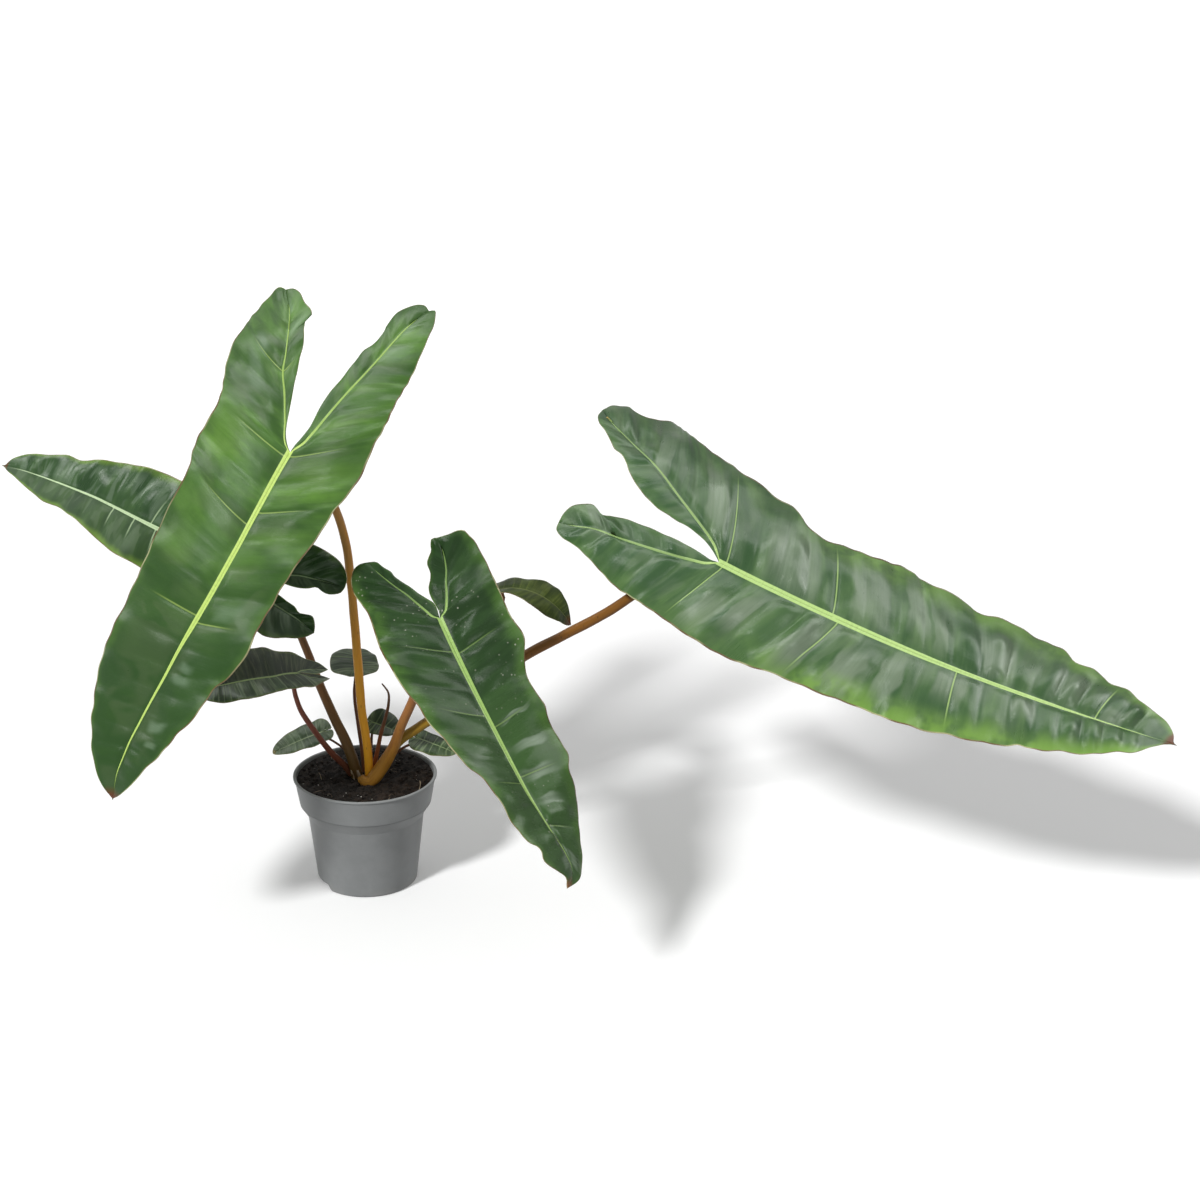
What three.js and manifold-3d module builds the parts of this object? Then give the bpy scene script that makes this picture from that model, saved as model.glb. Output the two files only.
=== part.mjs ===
// A potted philodendron with long arrow-shaped leaves, in a round nursery pot.
// Millimetres and degrees, +Z up. The origin is under the middle of the pot's base,
// and the side that is usually looked at faces -Y.
import * as THREE from "three";
import { mergeVertices } from "three/addons/utils/BufferGeometryUtils.js";
import Module from "manifold-3d";

const wasm = await Module();
wasm.setup();

// Clearance between pieces that touch
const GAP = 0.3;

// Pot: a tapered body under a wider rim band
const POT_HEIGHT = 95.5;
const RIM_RADIUS = 60;
const LIP_HEIGHT = 1.6;
const BAND_TOP_RADIUS = 58.8;
const BAND_FOOT_RADIUS = 55;
const BAND_FOOT_HEIGHT = 71.5;
const SHOULDER_RADIUS = 49;
const SHOULDER_HEIGHT = 62.5;
const BASE_RADIUS = 41.4;
const BASE_ROUNDING = 2.4;
const WALL = 1.4;
const FLOOR = 2.4;
const POT_SEGMENTS = 56;

// Drain notches with sloped ends, cut through the foot of the wall on opposite sides
const NOTCH_ANGLES = [206, 26];
const NOTCH_WIDTH = 36;
const NOTCH_TOP_WIDTH = 28;
const NOTCH_HEIGHT = 6;
const NOTCH_DEPTH = 6;

// Soil: filled to just under the lip, a little higher at the back, with a lumpy top
const SOIL_LEVEL = 92.2;
const SOIL_RISE = 0.03;
const SOIL_LUMP = 0.9;
const SOIL_RINGS = 7;
const SOIL_SEGMENTS = 36;

// Crown: the short stem that all leaf stalks rise from
const CROWN_AT = new THREE.Vector3(1, -3, 0);
const CROWN_RADIUS = 11.5;
const CROWN_FOOT = 74;
const CROWN_SHOULDER = 91;
const CROWN_TOP = 97.5;

// Leaf mesh
const BLADE_THICKNESS = 0.7;
const ROW_LENGTH = 9.5;
const ROW_CROWDING = 1.25;
const LOBE_CROWDING = 0.8;
const STALK_SIDES = 8;
const STALK_STEP = 14;

// The leaves, by where they stand. apex is where the stalk meets the blade, and heading, pitch
// and roll turn the blade there. droop, sweep and twist are its bends from the apex to the tip.
// half holds the half widths to the left and right of the midrib, fold is the rise of each side,
// and arch is how far a side bends down again. Each basal lobe runs back from the apex, with its
// length and its drop. wave is the height of the margin's waves, their length and their phase.
// A large leaf has hand-placed margins for its left and right sides: outer runs from the lobe's
// end to the tip, and inner from the lobe's end to the apex, as points [place along the midrib,
// distance out]. A small leaf has a plain outline instead: full and taper shape it toward the tip,
// angle and curl set each lobe's rib off the midrib's line, and inner is the width of a lobe on its
// inner side, as a share of the half width. tipSide moves the tip off the midrib's line.
const LEAVES = {
  front_left: {
    apex: [-48, -50, 393.5], heading: 224, pitch: -45.5, roll: -18, length: 304,
    droop: 12, sweep: 4.5, twist: 14, half: [63, 74], fold: 16.5, arch: 31,
    lobes: [{ length: 165, drop: -20 }, { length: 131, drop: -13 }],
    outer: [
      [[-165, 26], [-158, 35], [-140, 43.5], [-120, 49], [-85, 55.5], [-60, 61.5], [-32, 62],
        [-10, 67], [10, 69], [30, 64.5], [75, 64.5], [105, 61], [122, 60], [157, 65], [175, 61],
        [195, 51], [220, 49.5], [240, 40.5], [270, 27], [290, 16.5], [304, 0]],
      [[-131, 97], [-129, 106], [-111, 116], [-95, 115], [-75, 108.5], [-50, 104.5], [-30, 90.5],
        [-12, 79], [17, 82.5], [35, 76.5], [52, 68.5], [80, 72.5], [98, 70], [125, 65], [150, 68.5],
        [178, 64.5], [208, 67], [235, 55], [250, 49], [270, 39.5], [290, 23], [304, 0]],
    ],
    inner: [
      [[-165, 26], [-162, 13], [-150, 2.5], [-133, 3], [-120, 6.5], [-105, 2], [-55, 1], [-35, 3],
        [-15, 3], [0, 0]],
      [[-131, 97], [-127, 80], [-120, 69], [-111, 54.5], [-100, 54], [-80, 40], [-50, 27.5],
        [-20, 14.5], [0, 0]],
    ],
    wave: [3.2, 64, 0.6], columns: 4, colour: 0x4c7a37,
    stalk: [[4, -4, 88], [3, -3, 118], [-1, -1, 153], [-3, 0, 193], [-5, 1, 232], [-7, 1, 268],
      [-10, -2, 302], [-18, -9, 335], [-31, -22, 363]],
    stalkRadii: [3.4, 3.5, 3.7, 3.6, 3.5, 3.4, 3.2], stalkColour: 0xb0672d,
  },
  front_middle: {
    apex: [72, -100, 273], heading: 296, pitch: -33.5, roll: 21.5, length: 243,
    droop: 18, sweep: 15, twist: -55, half: [48.5, 52], fold: 19, arch: 19,
    lobes: [{ length: 65, drop: 17 }, { length: 68, drop: -2 }],
    outer: [
      [[-65, 22], [-62.5, 39], [-55, 45.5], [-40, 49.3], [0, 50.5], [41, 52.5], [62, 45.5],
        [78, 42.2], [97, 42.7], [138, 45.3], [156, 39.5], [172, 40.8], [186, 38.6], [200, 31.5],
        [225, 22.5], [236, 12], [243, -16]],
      [[-68, 37], [-66, 48.5], [-50, 56.7], [-20, 52.8], [15, 55.2], [48, 53.7], [84, 52.7],
        [103, 48.2], [124, 49], [138, 41.3], [150, 38.3], [170, 40.2], [190, 34.5], [210, 23.4],
        [217, 25.6], [233, 12], [243, 16]],
    ],
    inner: [
      [[-65, 22], [-61, 15], [-52.5, 10], [-39, 6], [-30, 1], [-12, 0.8], [0, 0]],
      [[-68, 37], [-60, 27.5], [-53, 22.6], [-45, 19.7], [-28, 9.5], [-15, 0.8], [0, 0]],
    ],
    tipSide: -16,
    wave: [3, 47, 2.2], columns: 4, colour: 0x33552d,
    stalk: [[6, -4, 88], [14, -7, 103], [24, -10, 121], [32, -16, 144], [42, -24, 169], [52, -36, 197],
      [61, -52, 225], [69, -71, 248]],
    stalkRadii: [5.6, 5.8, 4.6, 3.9, 3.8, 3.7, 3.5], stalkColour: 0xb36a33,
  },
  right: {
    apex: [292.5, -20, 290.5], heading: -27.5, pitch: -18.5, roll: 37.5, length: 391,
    droop: 1, sweep: 14, twist: -17, half: [76, 65], fold: 8, arch: 35,
    lobes: [{ length: 174, drop: -6 }, { length: 140, drop: -13 }],
    outer: [
      [[-174, 91], [-170, 106], [-158, 110], [-145, 107], [-134, 115], [-131, 128], [-126, 132.5],
        [-119, 131], [-110, 124], [-80, 106], [-50, 101], [-30, 91], [0, 87.5], [19, 86],
        [41, 71.5], [60, 68], [78, 72.5], [100, 71.5], [119, 79], [134, 84.5], [155, 73],
        [185, 75.5], [212, 65.5], [248, 69], [280, 62], [295, 50.5], [312, 51], [328, 42],
        [342, 40], [370, 25], [391, 0]],
      [[-140, 28], [-137, 35], [-110, 43], [-80, 53], [-50, 60.5], [-10, 63], [20, 68.5], [68, 68],
        [98, 62.5], [130, 65.3], [155, 60.5], [180, 63.8], [226, 56.3], [265, 50], [290, 46],
        [310, 39.5], [330, 35], [350, 25.5], [365, 18], [375, 8.5], [391, 0]],
    ],
    inner: [
      [[-174, 91], [-163, 71], [-150, 62.5], [-133, 50], [-118, 44], [-100, 29.5], [-80, 20],
        [-50, 14.7], [-20, 10.5], [0, 0]],
      [[-140, 28], [-138, 17], [-130, 5], [-120, 2.5], [-108, 7.6], [-92, 2.5], [-60, 0.5],
        [-15, 0.7], [0, 0]],
    ],
    wave: [3.4, 56, 4.1], columns: 4, colour: 0x557a48,
    stalk: [[20, -8, 113], [29, -7, 127], [45, -7, 139], [69, -8, 156], [100, -8, 179], [136, -8, 205],
      [168, -8, 223], [200, -8, 241], [232, -6, 262], [263, -2, 275]],
    stalkRadii: [3.8, 4, 4.1, 4.1, 4, 3.8], stalkColour: 0xa85f2c,
  },
  back_left: {
    apex: [-92.5, -18, 285.5], heading: 164, pitch: 23, roll: -56.5, length: 224,
    droop: 12.5, sweep: 6.5, twist: 17, half: [39, 42], fold: 16, arch: 15,
    lobes: [{ length: 79, drop: 4 }, { length: 84, drop: 5.5 }],
    outer: [
      [[-79, 21.5], [-69, 31.5], [-60, 35.8], [-44, 42.6], [-20, 41.6], [35, 41], [90, 38.6],
        [110, 34.5], [140, 24.8], [155, 21], [173, 20.8], [190, 15], [210, 6.5], [224, 0]],
      [[-84, 23], [-77, 36], [-62, 41.8], [-20, 42.6], [30, 43], [90, 41.8], [110, 39], [130, 36],
        [150, 29.5], [162, 25.5], [173, 26], [190, 20.3], [209, 14.4], [219, 5], [224, 0]],
    ],
    inner: [
      [[-79, 21.5], [-70, 9.5], [-60, 12.3], [-47, 8.4], [-25, 6], [0, 0]],
      [[-84, 23], [-79, 14.5], [-63, 13], [-50, 6], [-20, 3], [0, 0]],
    ],
    wave: [2.4, 40, 1.4], columns: 4, colour: 0x3a5f33,
    stalk: [[-6, 2, 88], [-12, 3, 113], [-24, 7, 141], [-36, 9, 171], [-45, 9, 200], [-54, 6, 226],
      [-72, 2, 256]],
    stalkRadii: [4.6, 4.5, 3.8, 3.3, 3, 2.8], stalkColour: 0x6f5a2c,
  },
  low_left: {
    apex: [-50, -40, 202.5], heading: 204, pitch: 11, roll: -11, length: 84,
    droop: 28, sweep: 2, twist: -19, half: [26, 28], fold: 11, arch: 15,
    lobes: [{ length: 28, drop: -7 }, { length: 30, drop: -5.5 }],
    outer: [
      [[-28, 5.5], [-23, 11.5], [-16, 18], [-8, 23.5], [0, 26], [14, 24.4], [28, 28.2], [48, 27.7],
        [62, 23.3], [77, 16.5], [84, 0]],
      [[-30, 7], [-18, 18], [0, 29], [14, 29.6], [28, 34.8], [52, 30], [72, 18.5], [84, 0]],
    ],
    inner: [
      [[-28, 5.5], [-20, 1], [-10, 0.6], [0, 0]],
      [[-30, 7], [-20, 1], [-10, 0.6], [0, 0]],
    ],
    wave: [1.3, 21, 0.4], columns: 3, colour: 0x37592f,
    stalk: [[-7, -1, 88], [-14, -2.5, 101], [-25, -8, 115], [-38, -15, 138], [-50, -24, 165],
      [-53, -32, 185]],
    stalkRadii: [2.9, 2.7, 2.4, 2, 1.8], stalkColour: 0x7c3a2a,
  },
  folded_back: {
    apex: [112.5, 60, 236.5], heading: -24.5, pitch: 21, roll: 3.5, length: 74,
    droop: 80, sweep: -1.5, twist: 1, half: [24.5, 23], fold: 11, arch: 19,
    lobes: [{ length: 42, drop: 0 }, { length: 42, drop: 0 }],
    outer: [
      [[-42, 7], [-30, 18.5], [-6, 22], [20, 19.3], [28, 20], [37, 24.4], [50, 18], [70, 3.5],
        [74, 0]],
      [[-42, 7], [-33, 15], [-20, 17.5], [8, 13.5], [30, 18], [42, 22.3], [57, 19.2], [66, 13],
        [74, 0]],
    ],
    inner: [
      [[-42, 7], [-20, 2.5], [0, 0]],
      [[-42, 7], [-20, 2.5], [0, 0]],
    ],
    wave: [1.2, 24, 1.8], columns: 3, colour: 0x57703a,
    stalk: [[8, 4, 88], [15, 6, 101], [26, 13, 121], [39, 20, 149], [55, 30, 176], [78, 43, 203],
      [101, 55, 220]],
    stalkRadii: [2.4, 2.4, 2.2, 2, 1.8], stalkColour: 0x6b542c,
  },
  round_back: {
    apex: [-9, 45, 172], heading: 98, pitch: 6.5, roll: 1.5, length: 40,
    droop: 10, sweep: 0.5, twist: 0.5, half: [21.5, 19.5], fold: 12.5, arch: 17,
    full: 2.65, taper: 0.58, inner: 0.3,
    lobes: [{ length: 15, angle: 22, drop: 0, curl: 0 }, { length: 14, angle: 22, drop: 0, curl: 0 }],
    wave: [0.6, 19, 0.2], columns: 3, colour: 0x35562d,
    stalk: [[-1, 5, 88], [-3, 13, 108], [-7, 25, 131], [-10, 36, 153]],
    stalkRadii: [1.5, 1.4, 1.3], stalkColour: 0x4d3322,
  },
  small_left: {
    apex: [-36, 12, 127.5], heading: 197, pitch: -14, roll: -20, length: 44.5,
    droop: 11, sweep: 0.5, twist: -1.5, half: [13, 14.5], fold: 12.5, arch: 18,
    full: 2.65, taper: 0.6, inner: 0.3,
    lobes: [{ length: 9, angle: 20, drop: 0, curl: 0 }, { length: 9, angle: 20, drop: 0, curl: 0 }],
    wave: [0.6, 17, 1.1], columns: 3, colour: 0x4a6b42,
    stalk: [[-4, 3, 88], [-11, 8, 102], [-18, 12, 112], [-28, 14, 119]],
    stalkRadii: [1.1, 1, 0.9], stalkColour: 0x2f2a20,
  },
  small_back: {
    apex: [4.5, 36, 126], heading: -24, pitch: -7, roll: 27, length: 24.5,
    droop: 11, sweep: -1.5, twist: 1, half: [15.5, 11.5], fold: 11.5, arch: 18,
    full: 2.7, taper: 0.57, inner: 0.3,
    lobes: [{ length: 6, angle: 22, drop: 0, curl: 0 }, { length: 6, angle: 22, drop: 0, curl: 0 }],
    wave: [0.5, 14, 0.5], columns: 3, colour: 0x44623c,
    stalk: [[2, 4, 88], [3, 12, 99], [4, 23, 108], [4, 32, 116]],
    stalkRadii: [1.2, 1.1, 1], stalkColour: 0x5a4428,
  },
  small_right: {
    apex: [46, 9, 122.5], heading: -18, pitch: -12.5, roll: 21.5, length: 33,
    droop: 9, sweep: 0.5, twist: 1, half: [10, 13.5], fold: 11, arch: 19,
    full: 2.6, taper: 0.6, inner: 0.3,
    lobes: [{ length: 6, angle: 20, drop: 0, curl: 0 }, { length: 8, angle: 20, drop: 0, curl: 0 }],
    wave: [0.6, 15, 2.6], columns: 3, colour: 0x41603c,
    stalk: [[9, 2, 88], [16, 7, 99], [25, 9, 109], [36, 11, 116]],
    stalkRadii: [1.3, 1.2, 1], stalkColour: 0x5a4428,
  },
};

// The rolled new leaf, still in its sheath
const SPIKE = {
  route: [[6, 2, 88], [8, 3, 102], [11, 3, 116], [14, 3, 130], [18, 3, 144], [21, 3, 157],
    [21, 3, 167], [16, 3, 175]],
  radii: [2.3, 2, 1.7, 1.4, 1, 0.6],
  colour: 0x8a3f2c,
};

// The order in which stalks are fitted round each other, thickest first
const STALK_ORDER = [
  "front_middle", "front_left", "back_left", "right", "low_left", "folded_back",
  "round_back", "small_left", "small_back", "small_right",
];

const X_AXIS = new THREE.Vector3(1, 0, 0);
const Y_AXIS = new THREE.Vector3(0, 1, 0);
const Z_AXIS = new THREE.Vector3(0, 0, 1);
const radians = THREE.MathUtils.degToRad;

// A closed geometry as a solid for joining and cutting.
function toSolid(geometry) {
  const bare = geometry.clone();
  bare.deleteAttribute("normal");
  bare.deleteAttribute("uv");
  const merged = mergeVertices(bare, 1e-3);
  const vertProperties = new Float32Array(merged.getAttribute("position").array);
  const triVerts = new Uint32Array(merged.index.array);
  return new wasm.Manifold(new wasm.Mesh({ numProp: 3, vertProperties, triVerts }));
}

// A solid as a geometry, keeping only its largest body.
function toGeometry(solid) {
  const bodies = solid.decompose().sort((a, b) => b.volume() - a.volume());
  const { vertProperties, triVerts } = bodies[0].getMesh();
  const geometry = new THREE.BufferGeometry();
  geometry.setAttribute("position", new THREE.BufferAttribute(vertProperties, 3));
  geometry.setIndex(new THREE.BufferAttribute(triVerts, 1));
  geometry.computeVertexNormals();
  return geometry;
}

// A [radius, height] profile turned about the Z axis.
function turned(profile, segments) {
  const points = profile.map(([radius, height]) => new THREE.Vector2(radius, height));
  return new THREE.LatheGeometry(points, segments).rotateX(Math.PI / 2);
}

function namedMesh(name, geometry, colour, roughness) {
  const material = new THREE.MeshStandardMaterial({ color: colour, roughness, metalness: 0 });
  const mesh = new THREE.Mesh(geometry, material);
  mesh.name = name;
  return mesh;
}

// The pot's inner profile, from the middle of its floor up to the lip, moved in by inset.
function innerProfile(inset) {
  return [
    [0, FLOOR + inset / 2],
    [BASE_RADIUS - WALL - inset, FLOOR + inset / 2],
    [SHOULDER_RADIUS - WALL - inset, SHOULDER_HEIGHT],
    [BAND_FOOT_RADIUS - WALL - inset, BAND_FOOT_HEIGHT],
    [BAND_TOP_RADIUS - WALL - inset, POT_HEIGHT],
  ];
}

function potGeometry() {
  const baseRounding = [270, 300, 330, 360].map((angle) => [
    BASE_RADIUS - BASE_ROUNDING * (1 - Math.cos(radians(angle))),
    BASE_ROUNDING * (1 + Math.sin(radians(angle))),
  ]);
  const outer = [
    [0, 0],
    ...baseRounding,
    [SHOULDER_RADIUS, SHOULDER_HEIGHT],
    [BAND_FOOT_RADIUS, BAND_FOOT_HEIGHT],
    [BAND_TOP_RADIUS, POT_HEIGHT - LIP_HEIGHT],
    [RIM_RADIUS, POT_HEIGHT - LIP_HEIGHT],
    [RIM_RADIUS, POT_HEIGHT],
  ];
  let solid = toSolid(turned([...outer, ...innerProfile(0).reverse()], POT_SEGMENTS));
  const foot = NOTCH_WIDTH / 2;
  const top = NOTCH_TOP_WIDTH / 2;
  const notchCorners = [
    [-foot, -1], [foot, -1], [foot, 0], [top, NOTCH_HEIGHT], [-top, NOTCH_HEIGHT], [-foot, 0],
  ];
  const notchShape = new THREE.Shape(notchCorners.map(([x, y]) => new THREE.Vector2(x, y)));
  for (const angle of NOTCH_ANGLES) {
    const options = { depth: 2 * NOTCH_DEPTH, bevelEnabled: false };
    const notch = new THREE.ExtrudeGeometry(notchShape, options)
      .rotateX(Math.PI / 2)
      .rotateZ(Math.PI / 2)
      .translate(BASE_RADIUS - NOTCH_DEPTH, 0, 0)
      .rotateZ(radians(angle));
    solid = solid.subtract(toSolid(notch));
  }
  return toGeometry(solid);
}

// Height of the soil's lumpy top above its level.
function soilRelief(x, y) {
  const lumps = Math.sin(x * 0.21 + 1.3) * Math.cos(y * 0.26 - 0.4) + 0.7 * Math.sin(x * 0.47 - y * 0.39);
  return SOIL_RISE * y + SOIL_LUMP * lumps;
}

// The radius inside the rim band at a height.
function bandInnerRadius(height) {
  const share = (height - BAND_FOOT_HEIGHT) / (POT_HEIGHT - BAND_FOOT_HEIGHT);
  return THREE.MathUtils.lerp(BAND_FOOT_RADIUS, BAND_TOP_RADIUS, share) - WALL;
}

function soilGeometry() {
  const wall = innerProfile(2 * GAP).slice(0, -1);
  const edgeRadius = bandInnerRadius(SOIL_LEVEL) - 2 * GAP;
  const rings = Array.from({ length: SOIL_RINGS + 1 }, (_, i) => [
    edgeRadius * (1 - i / SOIL_RINGS),
    SOIL_LEVEL,
  ]);
  const geometry = turned([...wall, ...rings], SOIL_SEGMENTS);
  const position = geometry.getAttribute("position");
  const vertex = new THREE.Vector3();
  for (let i = 0; i < position.count; i++) {
    vertex.fromBufferAttribute(position, i);
    if (vertex.z < SOIL_LEVEL - GAP) continue;
    vertex.z += soilRelief(vertex.x, vertex.y);
    const spread = (bandInnerRadius(vertex.z) - 2 * GAP) / edgeRadius;
    position.setXYZ(i, vertex.x * spread, vertex.y * spread, vertex.z);
  }
  return geometry;
}

// The crown, grown on all sides by a clearance for what stands round it.
function crownSolid(clearance) {
  const profile = [
    [0, CROWN_FOOT - clearance],
    [CROWN_RADIUS * 0.6 + clearance, CROWN_FOOT - clearance],
    [CROWN_RADIUS + clearance, (CROWN_FOOT + CROWN_SHOULDER) / 2],
    [CROWN_RADIUS + clearance, CROWN_SHOULDER],
    [CROWN_RADIUS * 0.75 + clearance, (CROWN_SHOULDER + CROWN_TOP) / 2 + clearance],
    [0, CROWN_TOP + clearance],
  ];
  return toSolid(turned(profile, 20).translate(...CROWN_AT));
}

// The turn of a leaf's own frame at its apex: X along the midrib, Y to its left, Z out of its face.
function leafTurn({ heading, pitch, roll }) {
  return new THREE.Quaternion()
    .setFromAxisAngle(Z_AXIS, radians(heading))
    .multiply(new THREE.Quaternion().setFromAxisAngle(Y_AXIS, -radians(pitch)))
    .multiply(new THREE.Quaternion().setFromAxisAngle(X_AXIS, radians(roll)));
}

// The leaf's frames along a line that leaves the apex forward or backward and bends evenly.
// stops are the shares of the length at which frames are wanted, in rising order.
function bentLine(leaf, length, droop, sweep, twist, direction, stops) {
  const turn = leafTurn(leaf);
  const point = new THREE.Vector3(...leaf.apex);
  const frames = [];
  let done = 0;
  for (const stop of stops) {
    const part = stop - done;
    const ahead = X_AXIS.clone().applyQuaternion(turn);
    turn
      .multiply(new THREE.Quaternion().setFromAxisAngle(X_AXIS, radians(twist * part)))
      .multiply(new THREE.Quaternion().setFromAxisAngle(Y_AXIS, radians(droop * part)))
      .multiply(new THREE.Quaternion().setFromAxisAngle(Z_AXIS, radians(sweep * part)));
    ahead.add(X_AXIS.clone().applyQuaternion(turn));
    point.addScaledVector(ahead, (direction * length * part) / 2);
    const along = direction * length * stop;
    frames.push({ point: point.clone(), turn: turn.clone(), along, share: stop });
    done = stop;
  }
  return frames;
}

// One point of the blade: lateral is the distance from the midrib's line, positive to the left.
function bladePoint(leaf, frame, lateral) {
  const side = lateral < 0 ? 1 : 0;
  const halfWidth = leaf.half[side];
  const reach = Math.abs(lateral);
  const slope = radians(leaf.fold - (leaf.arch * reach) / (2 * halfWidth));
  const [height, waveLength, phase] = leaf.wave;
  const turns = (2 * Math.PI * frame.along) / (waveLength * (side ? 1 : 1.13)) + phase + side * 2;
  const margin = Math.min(1, reach / halfWidth) ** 2;
  const lift = height * margin * Math.sin(turns);
  return new THREE.Vector3(
    0,
    Math.sign(lateral) * reach * Math.cos(slope),
    reach * Math.sin(slope) + lift,
  )
    .applyQuaternion(frame.turn)
    .add(frame.point);
}

// How far out a margin is at a place, on straight lines between its points in rising order.
function reachAt(margin, along) {
  const after = margin.findIndex(([place]) => place >= along);
  const i = after < 0 ? margin.length - 1 : Math.max(after, 1);
  const [[from, low], [to, high]] = [margin[i - 1], margin[i]];
  return THREE.MathUtils.lerp(low, high, THREE.MathUtils.clamp((along - from) / (to - from), 0, 1));
}

// Half width of the blade at a share of its length from the apex, for one side.
function halfWidthAt(leaf, side, share) {
  if (leaf.outer) return reachAt(leaf.outer[side], share * leaf.length);
  return leaf.half[side] * (1 - share ** leaf.full) ** leaf.taper;
}

// The inner and outer margins of a basal lobe at a share of its length, as distances from the
// midrib's line.
function lobeMargins(leaf, side, share) {
  const lobe = leaf.lobes[side];
  if (leaf.outer) {
    return [leaf.inner[side], leaf.outer[side]].map((margin) => reachAt(margin, -share * lobe.length));
  }
  const rib = Math.tan(radians(lobe.angle)) * lobe.length * share +
    lobe.length * Math.tan(radians(lobe.curl)) * (share ** 2 - share);
  const rise = THREE.MathUtils.smoothstep(share, 0, 0.6);
  const inner = leaf.half[side] * leaf.inner * rise * Math.sqrt(1 - share ** 8);
  const outer = leaf.half[side] * (1 - 0.3 * share) * Math.sqrt(1 - share ** 3);
  return [rib - Math.min(inner, 0.85 * rib), rib + outer];
}

// The blade's middle surface: points, and triangles that face up.
function bladeSurface(leaf) {
  const points = [];
  const triangles = [];
  const add = (point) => points.push(point) - 1;
  // Joins a row to the one ahead of it. Both run from right to left.
  const join = (rear, front) => {
    for (let k = 0; k + 1 < rear.length; k++) {
      for (const corners of [[rear[k], front[k], front[k + 1]], [rear[k], front[k + 1], rear[k + 1]]]) {
        if (new Set(corners).size === 3) triangles.push(corners);
      }
    }
  };
  const { columns, length } = leaf;
  const shares = Array.from({ length: columns + 1 }, (_, k) => k / columns);
  const count = Math.max(6, Math.round(length / ROW_LENGTH));
  const stops = Array.from({ length: count + 1 }, (_, j) => 1 - (1 - j / count) ** ROW_CROWDING);
  const frames = bentLine(leaf, length, leaf.droop, leaf.sweep, leaf.twist, 1, stops);
  const rows = frames.map((frame, j) => {
    if (j === count) {
      const tip = add(bladePoint(leaf, frame, leaf.tipSide ?? 0));
      return new Array(2 * columns + 1).fill(tip);
    }
    const right = shares.slice(1).reverse().map((s) => -s * halfWidthAt(leaf, 1, frame.share));
    const left = shares.map((s) => s * halfWidthAt(leaf, 0, frame.share));
    return [...right, ...left].map((lateral) => add(bladePoint(leaf, frame, lateral)));
  });
  rows.slice(1).forEach((row, j) => join(rows[j], row));

  leaf.lobes.forEach((lobe, side) => {
    const steps = Math.max(3, Math.round(lobe.length / ROW_LENGTH));
    const lobeStops = Array.from({ length: steps }, (_, j) =>
      Math.sin(((j + 1) / steps) * (Math.PI / 2)) ** LOBE_CROWDING);
    let front = side ? rows[0].slice(0, columns + 1) : rows[0].slice(columns);
    for (const frame of bentLine(leaf, lobe.length, lobe.drop, 0, 0, -1, lobeStops)) {
      const [inner, outer] = lobeMargins(leaf, side, frame.share);
      const laterals = shares.map((s) => (side ? -1 : 1) * (inner + (outer - inner) * s));
      const last = frame.share > 1 - 1e-9;
      const tip = last ? add(bladePoint(leaf, frame, laterals[0])) : 0;
      const row = laterals.map((lateral) => (last ? tip : add(bladePoint(leaf, frame, lateral))));
      if (side) row.reverse();
      join(row, front);
      front = row;
    }
  });
  return { points, triangles };
}

// A surface given a thickness, half to each side, with its edges closed.
function thickened({ points, triangles }, thickness) {
  const normals = points.map(() => new THREE.Vector3());
  const edges = new Map();
  for (const [a, b, c] of triangles) {
    const normal = new THREE.Vector3()
      .subVectors(points[b], points[a])
      .cross(new THREE.Vector3().subVectors(points[c], points[a]));
    [a, b, c].forEach((corner) => normals[corner].add(normal));
    [[a, b], [b, c], [c, a]].forEach(([from, to]) => edges.set(`${from},${to}`, [from, to]));
  }
  const above = points.map((p, i) => p.clone().addScaledVector(normals[i].normalize(), thickness / 2));
  const below = points.map((p, i) => p.clone().addScaledVector(normals[i], -thickness / 2));
  const position = [...above, ...below].flatMap((p) => p.toArray());
  const n = points.length;
  const index = triangles.flatMap(([a, b, c]) => [a, b, c, n + c, n + b, n + a]);
  for (const [from, to] of edges.values()) {
    if (edges.has(`${to},${from}`)) continue;
    index.push(to, from, n + from, to, n + from, n + to);
  }
  const geometry = new THREE.BufferGeometry();
  geometry.setAttribute("position", new THREE.Float32BufferAttribute(position, 3));
  geometry.setIndex(index);
  geometry.computeVertexNormals();
  return geometry;
}

// A round stalk along a route, its radius changing evenly through the given ones, grown by a
// clearance for what is fitted round it.
function stalkSolid(route, radii, clearance) {
  const curve = new THREE.CatmullRomCurve3(route, false, "catmullrom", 0.5);
  const steps = Math.max(5, Math.round(curve.getLength() / STALK_STEP));
  const section = new THREE.Shape();
  section.absarc(0, 0, 1, 0, 2 * Math.PI, false);
  const geometry = new THREE.ExtrudeGeometry(section, {
    steps, extrudePath: curve, curveSegments: STALK_SIDES, bevelEnabled: false,
  });
  const centres = curve.getSpacedPoints(steps);
  const position = geometry.getAttribute("position");
  const vertex = new THREE.Vector3();
  for (let i = 0; i < position.count; i++) {
    vertex.fromBufferAttribute(position, i);
    const distances = centres.map((centre) => centre.distanceToSquared(vertex));
    const step = distances.indexOf(Math.min(...distances));
    const place = (step / steps) * (radii.length - 1);
    const lower = Math.min(Math.floor(place), radii.length - 2);
    const radius = THREE.MathUtils.lerp(radii[lower], radii[lower + 1], place - lower) + clearance;
    vertex.sub(centres[step]).multiplyScalar(radius).add(centres[step]);
    position.setXYZ(i, ...vertex.toArray());
  }
  return toSolid(geometry);
}

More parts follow.
